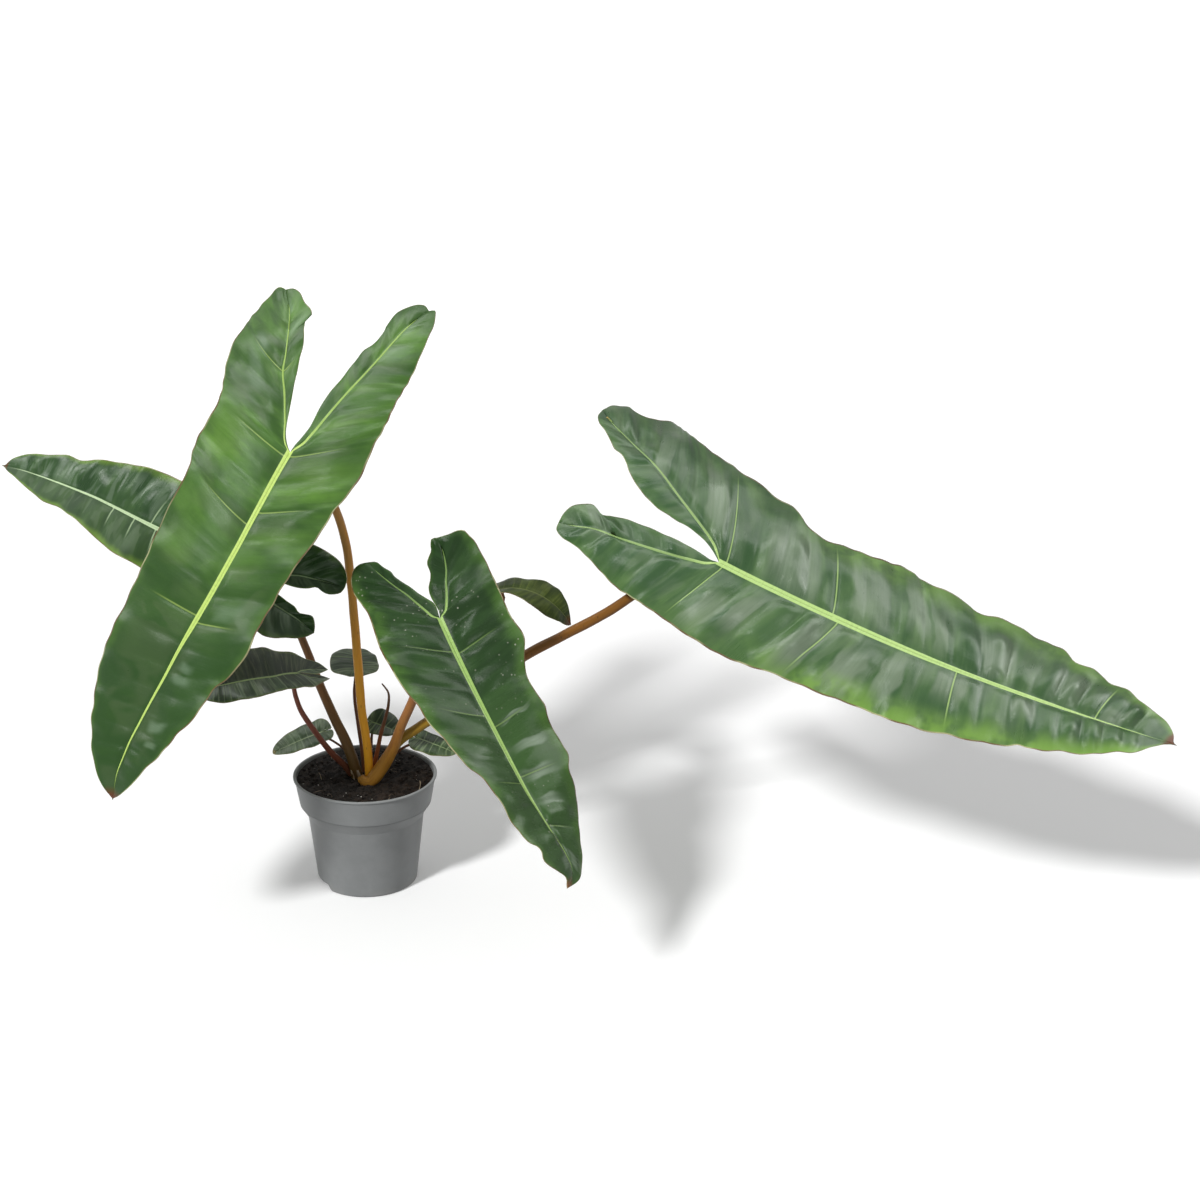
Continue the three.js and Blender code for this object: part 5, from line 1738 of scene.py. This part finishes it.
def front_middle() -> Blade:
    """The dark blade that droops over the pot's right side."""
    left = Half(
        Line([(243, -16), (242.3, -8), (241.5, -1), (239.5, 6), (236, 12), (231, 18), (225, 22.5), (218, 26),
                  (206, 29.7), (200, 31.5), (193, 36), (186, 38.6), (178, 39.7), (172, 40.8), (166, 40.3),
                  (160, 39), (156, 39.5), (151, 42.3), (146, 44.8), (138, 45.3), (130, 44.8), (120, 43.5),
                  (111, 42.3), (103, 43.5), (97, 42.7), (88, 41.7), (78, 42.2), (70, 43.3), (62, 45.5), (55, 48.5),
                  (48, 51.5), (41, 52.5), (30, 51.3), (18, 50.6), (0, 50.5), (-20, 50.2), (-30, 50.4), (-40, 49.3),
                  (-49, 48), (-55, 45.5), (-60.5, 43.5), (-62.5, 39), (-62.5, 32), (-64, 22)]),
        Line([(0, -1), (-6, 0.4), (-12, 0), (-19, -1), (-25, -0.9), (-30, 0.6), (-34, 3.6), (-39, 6), (-49, 7),
              (-52.5, 10), (-56, 13.5), (-61, 15), (-65, 17.5), (-64, 22)]),
        Line([(0, -1), (-3, 5), (-10, 8.9), (-19, 12.5), (-27, 15), (-35, 18.5), (-43, 20.7), (-50, 22),
              (-57, 22.3)]),
        (224, 210, 193, 174, 150, 128, 105, 81, 58, 36, 12, -14, -30, -46),
        [(150, 150), (105, 95), (36, 26), (-27, -37)], (193, 150, 105, 36))
    right_half = Half(
        Line([(243, 16), (241, 15), (238, 12), (236, 10.5), (233, 12), (230, 16), (226, 20), (221, 24), (217, 25.6),
              (213, 24.2), (210, 23.4), (206, 24.8), (202, 29), (197, 32), (190, 34.5), (182, 37.5), (176, 39.5),
              (170, 40.2), (162, 39.7), (155, 38.7), (148, 38.3), (142, 39.2), (138, 41.3), (134, 44.5),
              (130, 47.2), (124, 49), (118, 49.4), (110, 48.7), (103, 48.2), (96, 49.3), (90, 51), (84, 52.7),
              (70, 53), (55, 53), (48, 53.7), (40, 54.5), (30, 55.4), (15, 55.2), (0, 54), (-10, 53.2),
              (-20, 52.8), (-30, 54), (-40, 55.5), (-50, 56.7), (-59, 54), (-66, 48.5), (-68, 43), (-68, 37)]),
        Line([(0, 1), (-4, 0.8), (-10, 0.1), (-15, 0.6), (-21, 4.5), (-28, 9.5), (-34, 12.7), (-45, 19.7),
              (-49.5, 22), (-53, 22.6), (-60, 27.5), (-66, 31), (-68, 37)]),
        Line([(0, 1), (-2, 5), (-10, 9.3), (-20, 14.2), (-30, 18.9), (-40, 24.4), (-50, 29.5), (-60, 34.5)]),
        (224, 210, 194, 176, 155, 133, 115, 94, 72, 53, 33, 8, -20, -38, -55),
        [(133, 124), (72, 46), (33, 8), (0, -24), (-53, -62)], (155, 94, 33))
    return Blade(
        "front_middle", (72, -100, 273), (296, -33.5, 21.5), 243, (18, 15, -55), (48.5, 52), 19, 19,
        ((65, 17), (68, -2)), (3.0, 47, 2.2), (left, right_half), Green.FRONT_MIDDLE.value, "leaf_dark",
        midrib=Curve((0, -1), (50, -1.2), (100, -1.6), (140, -2.2), (160, -2.4), (180, -0.8), (200, 1.8),
                     (215, 4.8), (225, 5), (234, 1), (240, -7), (243, -16)),
        band=Curve((0, 5.6), (35, 5.4), (80, 4.6), (160, 3.6), (180, 2.4), (200, 1.8), (243, 1)),
        lobe_band=3.0, columns=24, ridge=2.8, puff=1.3, groove=0.45, crease=0.15, tip_fold=0.3, seed=3.7)


def back_left() -> Blade:
    """The blade that reaches out to the left, behind the large one."""
    left = Half(
        Line([(220, 0), (217, 3.5), (210, 6.5), (200, 11), (190, 15), (181, 18.3), (173, 20.8), (165, 20.4),
              (160, 20), (155, 21), (150, 22.7), (140, 24.8), (130, 28.5), (120, 31.5), (110, 34.5), (100, 37.3),
              (90, 38.6), (80, 38.2), (72, 38.6), (55, 40), (35, 41), (0, 41.5), (-38, 41.7), (-44, 42.6),
              (-50, 41.3), (-60, 35.8), (-69, 31.5), (-75, 27), (-79, 21.5)]),
        Line([(0, 2), (-10, 3.5), (-25, 6), (-38, 6.7), (-47, 8.4), (-54, 9.3), (-60, 12.3), (-65, 10.8),
              (-70, 9.5), (-76, 15), (-79, 21.5)]),
        Line([(0, 2), (-6, 7), (-14, 10.5), (-25, 13.5), (-38, 15.5), (-50, 16.5), (-60, 17.5), (-72, 19.5)]),
        (204, 190, 174, 156, 138, 118, 98, 78, 56, 34, 12, -20, -40, -58),
        [(156, 156), (98, 94), (34, 20), (-20, -32)], (118, 98, 78, 56, 34))
    right_half = Half(
        Line([(220, 0), (219, 5), (215, 10), (209, 14.4), (200, 18), (190, 20.3), (180, 23.7), (173, 26),
              (167, 25.7), (162, 25.5), (156, 27), (150, 29.5), (140, 33), (130, 36), (118, 38), (110, 39),
              (100, 41), (90, 41.8), (76, 41), (55, 42), (30, 43), (0, 43), (-25, 42.5), (-50, 42.3), (-62, 41.8),
              (-70, 40), (-77, 36), (-83, 29), (-84, 23)]),
        Line([(0, -2), (-8, 2), (-20, 3), (-38, 3.6), (-50, 6), (-57, 9), (-63, 13), (-68, 12), (-73, 12),
              (-79, 14.5), (-83, 18), (-84, 23)]),
        Line([(0, -2), (-5, 2.5), (-12, 6), (-25, 9.5), (-38, 12), (-45, 15), (-55, 17.5), (-65, 20),
              (-76, 22.3)]),
        (203, 188, 166, 145, 122, 104, 84, 62, 40, 16, -18, -38, -56),
        [(166, 163), (104, 98), (40, 24), (-18, -36)], (84, 62, 40, 16))
    return Blade(
        "back_left", (-92.5, -18, 285.5), (164, 23, -56.5), 224, (12.5, 6.5, 17), (39, 42), 16, 15,
        ((79, 4), (84, 5.5)), (2.4, 40, 1.4), (left, right_half), Green.BACK_LEFT.value, "leaf_dark",
        midrib=Curve((0, 2), (76, 2.5), (100, 1.5), (120, 0.2), (140, -1), (200, -1.5), (220, 0)),
        band=Curve((0, 5), (76, 4), (100, 3), (160, 1.8), (220, 0.5)),
        lobe_band=2.6, columns=22, ridge=2.2, puff=1.3, groove=0.7, seed=5.2)


def low_left() -> Blade:
    """The small dark blade low on the left."""
    left = Half(
        Line([(84, 0), (83, 7), (77, 16.5), (70, 21), (62, 23.3), (55, 26), (48, 27.7), (42, 26.3), (35, 26.7),
              (28, 28.2), (21, 26.3), (14, 24.4), (8, 26.6), (0, 26), (-8, 23.5), (-16, 18), (-23, 11.5),
              (-28, 5.5)]),
        Line([(0, 1.5), (-5, 0.7), (-10, 0.5), (-20, 0.9), (-28, 5.5)]),
        Line([(0, 1.5), (-5, 4), (-12, 6), (-21, 6.5)]), (74, 63, 51, 39, 26, 12, -10),
        [(51, 52), (26, 24)])
    right_half = Half(
        Line([(84, 0), (83, 6), (79, 12), (72, 18.5), (62, 25), (52, 30), (40, 33.5), (28, 34.8), (21, 32.5),
              (14, 29.6), (7, 32), (0, 29), (-5, 25.5), (-12, 22), (-18, 18), (-25, 12.5), (-30, 7)]),
        Line([(0, -1.5), (-5, -0.4), (-10, -0.2), (-20, 0.4), (-30, 7)]),
        Line([(0, -1.5), (-5, 2.5), (-12, 5.5), (-22, 7.2)]), (74, 63, 51, 39, 26, 10, -9),
        [(51, 52), (26, 24)])
    return Blade(
        "low_left", (-50, -40, 202.5), (204, 11, -11), 84, (28, 2, -19), (26, 28), 11, 15, ((28, -7), (30, -5.5)),
        (1.3, 21, 0.4), (left, right_half), Green.LOW_LEFT.value, "leaf_dark",
        midrib=Curve((0, 1.5), (10, 2.5), (22, 5), (40, 4.5), (60, 3.5), (84, 0)),
        band=Curve((0, 2.6), (40, 1.8), (84, 0.4)), lobe_band=1.5, columns=16, ridge=1.3, puff=0.5, groove=0.4,
        step=1.9, seed=6.4)


def folded_back() -> Blade:
    """The olive blade behind the middle one."""
    left = Half(
        Line([(74, 0), (70, 3.5), (60, 11.5), (50, 18), (42, 22.8), (37, 24.4), (32, 22.6), (27, 19.4), (19, 19.3),
              (8, 21), (-6, 22), (-18, 21), (-30, 18.5), (-38, 13), (-41, 7)]),
        Line([(0, 0), (-8, 1), (-20, 2.5), (-32, 3.5), (-41, 7)]),
        Line([(0, 0), (-8, 4), (-20, 6.5), (-34, 7.5)]), (64, 54, 43, 32, 20, 8, -14),
        [(43, 42), (20, 16)])
    right_half = Half(
        Line([(74, 0), (73, 4), (70, 9), (66, 13), (62, 17.3), (57, 19.2), (50, 20.6), (42, 22.3), (37, 21),
              (30, 18), (20, 15), (8, 13.5), (-6, 16), (-20, 17.5), (-33, 15), (-41, 7)]),
        Line([(0, 0), (-8, 1), (-20, 2.5), (-32, 3.5), (-41, 7)]),
        Line([(0, 0), (-8, 4), (-20, 6.5), (-34, 7.5)]), (64, 54, 43, 32, 20, 8, -14),
        [(43, 42), (20, 16)])
    return Blade(
        "folded_back", (112.5, 60, 236.5), (-24.5, 21, 3.5), 74, (80, -1.5, 1), (24.5, 23), 11, 19,
        ((42, 0), (42, 0)), (1.2, 24, 1.8), (left, right_half), Green.FOLDED_BACK.value, "leaf_mid",
        band=Curve((0, 2.4), (40, 1.6), (74, 0.4)), lobe_band=1.4, columns=16, ridge=1.2, puff=0.5, groove=0.4,
        step=1.9, seed=7.9)


def small_blade(name: str, apex: Sequence[float], turn: tuple[float, float, float], length: float,
                bends: tuple[float, float, float], half: tuple[float, float], fold: float, arch: float,
                full: float, taper: float, inner: float, lobes: tuple[tuple[float, float], tuple[float, float]],
                wave: tuple[float, float, float], seed: float) -> Blade:
    """Draws one of the small plain blades.

    Args:
        name: its name.
        apex: where its stalk meets it.
        turn: its heading, pitch and roll.
        length: from the stalk to the tip.
        bends: its droop, sweep and twist.
        half: the widths of its halves.
        fold: the angle of its halves at the midrib.
        arch: how far they curve over.
        full: how long it stays wide.
        taper: how fast it narrows.
        inner: the lobes' inner width.
        lobes: the length and rib angle of each lobe.
        wave: the margin's wave.
        seed: what its unevenness is drawn from.

    Returns:
        The blade.
    """
    halves = tuple(shaped_half(length, wide, full, taper, inner, lobe, angle)
                   for wide, (lobe, angle) in zip(half, lobes))
    finish = Green.SMALL_PALE if name == "small_left" else Green.SMALL
    return Blade(name, apex, turn, length, bends, half, fold, arch, tuple((lobe, 0.0) for lobe, _ in lobes), wave,
                 halves, finish.value, "leaf_dark", band=Curve((0, 1.5), (length, 0.3)), lobe_band=1.0,
                 columns=14, ridge=0.8, puff=0.35, groove=0.25, step=1.3, seed=seed)


def blades() -> list[Blade]:
    """Lists all ten blades, the large ones first."""
    return [
        front_left(), right(), front_middle(), back_left(), low_left(), folded_back(),
        small_blade("round_back", (-9, 45, 172), (98, 6.5, 1.5), 40, (10, 0.5, 0.5), (21.5, 19.5), 12.5, 17, 2.65,
                    0.58, 0.3, ((15, 22), (14, 22)), (0.6, 19, 0.2), 8.3),
        small_blade("small_left", (-36, 12, 127.5), (197, -14, -20), 44.5, (11, 0.5, -1.5), (13, 14.5), 12.5, 18,
                    2.65, 0.6, 0.3, ((9, 20), (9, 20)), (0.6, 17, 1.1), 9.1),
        small_blade("small_back", (4.5, 36, 126), (-24, -7, 27), 24.5, (11, -1.5, 1), (15.5, 11.5), 11.5, 18, 2.7,
                    0.57, 0.3, ((6, 22), (6, 22)), (0.5, 14, 0.5), 10.6),
        small_blade("small_right", (46, 9, 122.5), (-18, -12.5, 21.5), 33, (9, 0.5, 1), (10, 13.5), 11, 19, 2.6,
                    0.6, 0.3, ((6, 20), (8, 20)), (0.6, 15, 2.6), 11.8),
    ]


@dataclass(frozen=True)
class StalkPlan:
    """Where one blade's stalk runs below its blade, in millimetres, and how it looks."""

    blade: str
    route: Knots
    radii: Sequence[float]
    skin: Skin
    slot: str
    seed: float


STALKS = (
    StalkPlan("front_left", ((4, -4, 88), (3, -3, 118), (-1, -1, 153), (-3, 0, 193), (-5, 1, 232), (-7, 1, 268),
                             (-10, -2, 302), (-18, -9, 335), (-31, -22, 363)), (3.4, 3.5, 3.7, 3.6, 3.5, 3.4, 3.2),
              Skin.GOLDEN, "stalk_orange", 1.2),
    StalkPlan("front_middle", ((-3, -9.5, 97), (-1, -10.5, 93.5), (4, -10.5, 92), (9, -9, 96.5), (14, -7, 103),
                               (24, -10, 121), (32, -16, 144), (42, -24, 169), (52, -36, 197), (61, -52, 225),
                               (69, -71, 248)), (2.2, 4, 5, 5.6, 5.6, 4.7, 4, 3.8, 3.8, 3.7, 3.6, 3.5),
              Skin.BROWN, "stalk_orange", 2.4),
    StalkPlan("right", ((20, -8, 113), (29, -7, 127), (45, -7, 139), (69, -8, 156), (100, -8, 179),
                        (136, -8, 205), (168, -8, 223), (200, -8, 241), (232, -6, 262), (263, -2, 275)),
              (3.8, 4, 4.1, 4.1, 4, 3.8), Skin.ORANGE, "stalk_orange", 3.1),
    StalkPlan("back_left", ((-6, 2, 88), (-12, 3, 113), (-24, 7, 141), (-36, 9, 171), (-45, 9, 200), (-54, 6, 226),
                            (-72, 2, 256)), (4.6, 4.5, 3.8, 3.3, 3, 2.8), Skin.OLIVE, "stalk_olive", 4.9),
    StalkPlan("low_left", ((-11, 7, 90), (-17, 3, 101), (-26, -5, 115), (-38, -15, 138), (-50, -24, 165),
                           (-53, -32, 185)), (2.9, 2.7, 2.4, 2, 1.8), Skin.RED, "stalk_red", 5.5),
    StalkPlan("folded_back", ((8, 4, 88), (15, 6, 101), (26, 13, 121), (39, 20, 149), (55, 30, 176), (78, 43, 203),
                              (101, 55, 220)), (2.4, 2.4, 2.2, 2, 1.8), Skin.OLIVE, "stalk_olive", 6.6),
    StalkPlan("round_back", ((-1, 5, 88), (-3, 13, 108), (-7, 25, 131), (-10, 36, 153)), (1.5, 1.4, 1.3), Skin.DARK,
              "stalk_dark", 7.7),
    StalkPlan("small_left", ((-4, 3, 88), (-11, 8, 102), (-18, 12, 112), (-28, 14, 119)), (1.1, 1, 0.9), Skin.DARK,
              "stalk_dark", 8.8),
    StalkPlan("small_back", ((2, 4, 88), (3, 12, 99), (4, 23, 108), (4, 32, 116)), (1.2, 1.1, 1), Skin.DARK,
              "stalk_dark", 9.9),
    StalkPlan("small_right", ((9, 2, 88), (16, 7, 99), (25, 9, 109), (36, 11, 116)), (1.3, 1.2, 1), Skin.DARK,
              "stalk_dark", 10.4),
)


def stalk_of(plan: StalkPlan, blade: Blade) -> Stalk:
    """Runs a stalk up to its blade and a little way along the rib below it.

    Args:
        plan: the stalk's route.
        blade: its blade.

    Returns:
        The stalk.
    """
    size = plan.radii[-1]
    axes = blade.axes()
    ahead, out = axes.col[0], axes.col[2]
    apex = Vector(blade.apex)
    middle = blade.midrib(0.0) * axes.col[1]
    near = min(1.0, blade.length / 220)
    lead = [apex - out * (1.5 * size) + middle * 0.6 + ahead * 0.4 * size]
    lead += [blade.place(Side.LEFT, at * near, blade.midrib(at * near)) - out * (0.35 + drop * size)
             for at, drop in ((12.0, 0.78), (26.0, 0.45), (42.0, 0.2))]
    route = [*plan.route, tuple(apex - out * (4.5 * size))]
    return Stalk("stalk_" + plan.blade, route, plan.radii, plan.skin.value, plan.slot, ["petiole_" + plan.blade],
                 seed=plan.seed, lead=[tuple(p) for p in lead],
                 lead_radii=(size * 0.98, size * 0.75, size * 0.5, size * 0.22), flare=0.12)


def new_leaf() -> Stalk:
    """The rolled new leaf in its red sheath, with a dark hooked end."""
    return Stalk("new_leaf_spike", ((6, 2, 88), (8, 3, 102), (11, 3, 116), (14, 3, 130), (18, 3, 144), (21, 3, 157),
                                    (21, 3, 167), (16, 3, 175)), (2.3, 2, 1.7, 1.4, 1, 0.6), Skin.SPIKE.value,
                 "stalk_red", ["new_leaf_sheath"], around=16, step=1.6, seed=12.0)


@dataclass(frozen=True)
class Panel:
    """A soft panel that is only seen mirrored in the leaves.

    Attributes:
        name: its name.
        place: its middle, in metres.
        aim: the point it faces.
        size: its width and depth.
        power: its power in watts.
    """

    name: str
    place: tuple[float, float, float]
    aim: tuple[float, float, float]
    size: tuple[float, float]
    power: float

    def hang(self) -> None:
        """Hangs the panel in the studio."""
        light = bpy.data.lights.new(self.name, "AREA")
        light.shape, light.size, light.size_y, light.energy = "RECTANGLE", self.size[0], self.size[1], self.power
        holder = bpy.data.objects.new(self.name, light)
        holder.location = self.place
        holder.rotation_euler = (Vector(self.aim) - Vector(self.place)).to_track_quat("-Z", "Y").to_euler()
        holder.visible_camera = False
        holder.visible_diffuse = False
        bpy.context.scene.collection.objects.link(holder)


PANELS = (
    Panel("overhead", (0.38, 0.80, 3.1), (0.25, 0.0, 0.25), (2.2, 1.5), 24.0),
    Panel("right_softbox", (1.70, -0.05, 2.0), (0.3, -0.1, 0.2), (1.9, 1.3), 26.0),
    Panel("left_card", (-0.9, -0.5, 1.75), (-0.15, 0.0, 0.3), (0.45, 0.45), 6.0),
    Panel("side_card", (-1.40, 0.57, 1.46), (-0.12, -0.05, 0.33), (0.55, 0.55), 5.0),
    Panel("front_card", (0.95, -1.9, 1.3), (0.35, -0.1, 0.24), (0.8, 0.6), 8.0),
    Panel("end_card", (1.75, -0.02, 1.25), (0.57, -0.12, 0.22), (0.6, 0.6), 6.0),
    Panel("back_card", (-0.75, 0.62, 2.0), (-0.1, 0.0, 0.2), (0.9, 0.9), 10.0),
)


@dataclass
class Studio:
    """The plain pale floor, the soft light and the camera at the photograph's place.

    Attributes:
        camera_at: where the camera stands, in metres.
        pitch: how far it looks down, in degrees.
        lens: its focal length in millimetres.
        light_way: which way the main light shines.
        light_power: its strength.
        light_spread: how wide it looks, in degrees, which softens the shadows.
        sky_power: the strength of the even white room.
        glow_at: the middle of the floor's shaded part, in metres.
        glow_ring: how far from it the floor's own light starts to rise and stops rising, in metres.
        glow: that light's strength inside and outside the ring.
    """

    camera_at: tuple[float, float, float] = (0.1963, -2.2910, 1.1217)
    pitch: float = 20.83
    lens: float = 90.0
    light_way: tuple[float, float, float] = (0.66, 0.95, -1.0)
    light_power: float = 3.0
    light_spread: float = 8.0
    sky_power: float = 0.46
    glow_at: tuple[float, float, float] = (0.2, 0.15, 0.0)
    glow_ring: tuple[float, float] = (0.6, 2.6)
    glow: tuple[float, float] = (0.13, 0.5)

    def set_camera(self) -> None:
        """Places the camera."""
        camera = bpy.data.cameras.new("camera")
        camera.lens, camera.sensor_width, camera.clip_end = self.lens, 36.0, 60.0
        holder = bpy.data.objects.new("camera", camera)
        holder.location = self.camera_at
        holder.rotation_euler = (math.radians(90 - self.pitch), 0.0, 0.0)
        bpy.context.scene.collection.objects.link(holder)
        bpy.context.scene.camera = holder

    def set_light(self) -> None:
        """Sets a soft light from the front left, an even white room, and the panels that the leaves mirror."""
        sun = bpy.data.lights.new("softbox", "SUN")
        sun.energy, sun.angle = self.light_power, math.radians(self.light_spread)
        holder = bpy.data.objects.new("softbox", sun)
        holder.rotation_euler = Vector(self.light_way).to_track_quat("-Z", "Y").to_euler()
        holder.visible_glossy = False
        bpy.context.scene.collection.objects.link(holder)
        for panel in PANELS:
            panel.hang()
        world = bpy.data.worlds.new("white_room")
        world.use_nodes = True
        back = world.node_tree.nodes["Background"]
        back.inputs["Color"].default_value = (1.0, 1.0, 1.0, 1.0)
        back.inputs["Strength"].default_value = self.sky_power
        bpy.context.scene.world = world

    def lay_floor(self) -> None:
        """Lays the white floor, whose glow is painted light: weak near the plant, where it lifts the shade, and
        stronger far off.
        """
        bm = bmesh.new()
        bmesh.ops.create_grid(bm, x_segments=4, y_segments=4, size=16.0)
        mesh = bpy.data.meshes.new("floor")
        bm.to_mesh(mesh)
        bm.free()
        floor = bpy.data.objects.new("floor", mesh)
        g = Graph("floor_white")
        tone = g.noise(g.spot(), 1.4, 2.0)
        far = g.add("VectorMath", {0: g.spot(), 1: self.glow_at}, operation="DISTANCE").outputs["Value"]
        # The floor glows though it is no lamp: painted light that lifts its shade and whitens it far off.
        glow = g.rise(far, *self.glow_ring, *self.glow)
        mesh.materials.append(g.close(g.mix(tone, (0.86, 0.86, 0.86), (0.9, 0.9, 0.9)), 0.85,
                                      Specular_IOR_Level=0.2, Emission_Color=(1.0, 1.0, 1.0), Emission_Strength=glow))
        floor.visible_diffuse = False
        bpy.context.scene.collection.objects.link(floor)

    def build(self) -> None:
        """Sets the camera, the light, the floor and a plain view transform."""
        self.set_camera()
        self.set_light()
        self.lay_floor()
        bpy.context.scene.view_settings.view_transform = "Standard"


def main() -> None:
    """Builds the studio, then the pot, the soil, the stalks and the blades."""
    logging.basicConfig(level=logging.INFO, format="%(message)s")
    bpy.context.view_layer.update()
    Studio().build()
    Pot().build()
    Ground().build()
    leaves = {blade.name: blade for blade in blades()}
    for blade in leaves.values():
        blade.build()
    for plan in STALKS:
        stalk_of(plan, leaves[plan.blade]).build()
    new_leaf().build()
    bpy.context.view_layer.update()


if __name__ == "__main__":
    main()
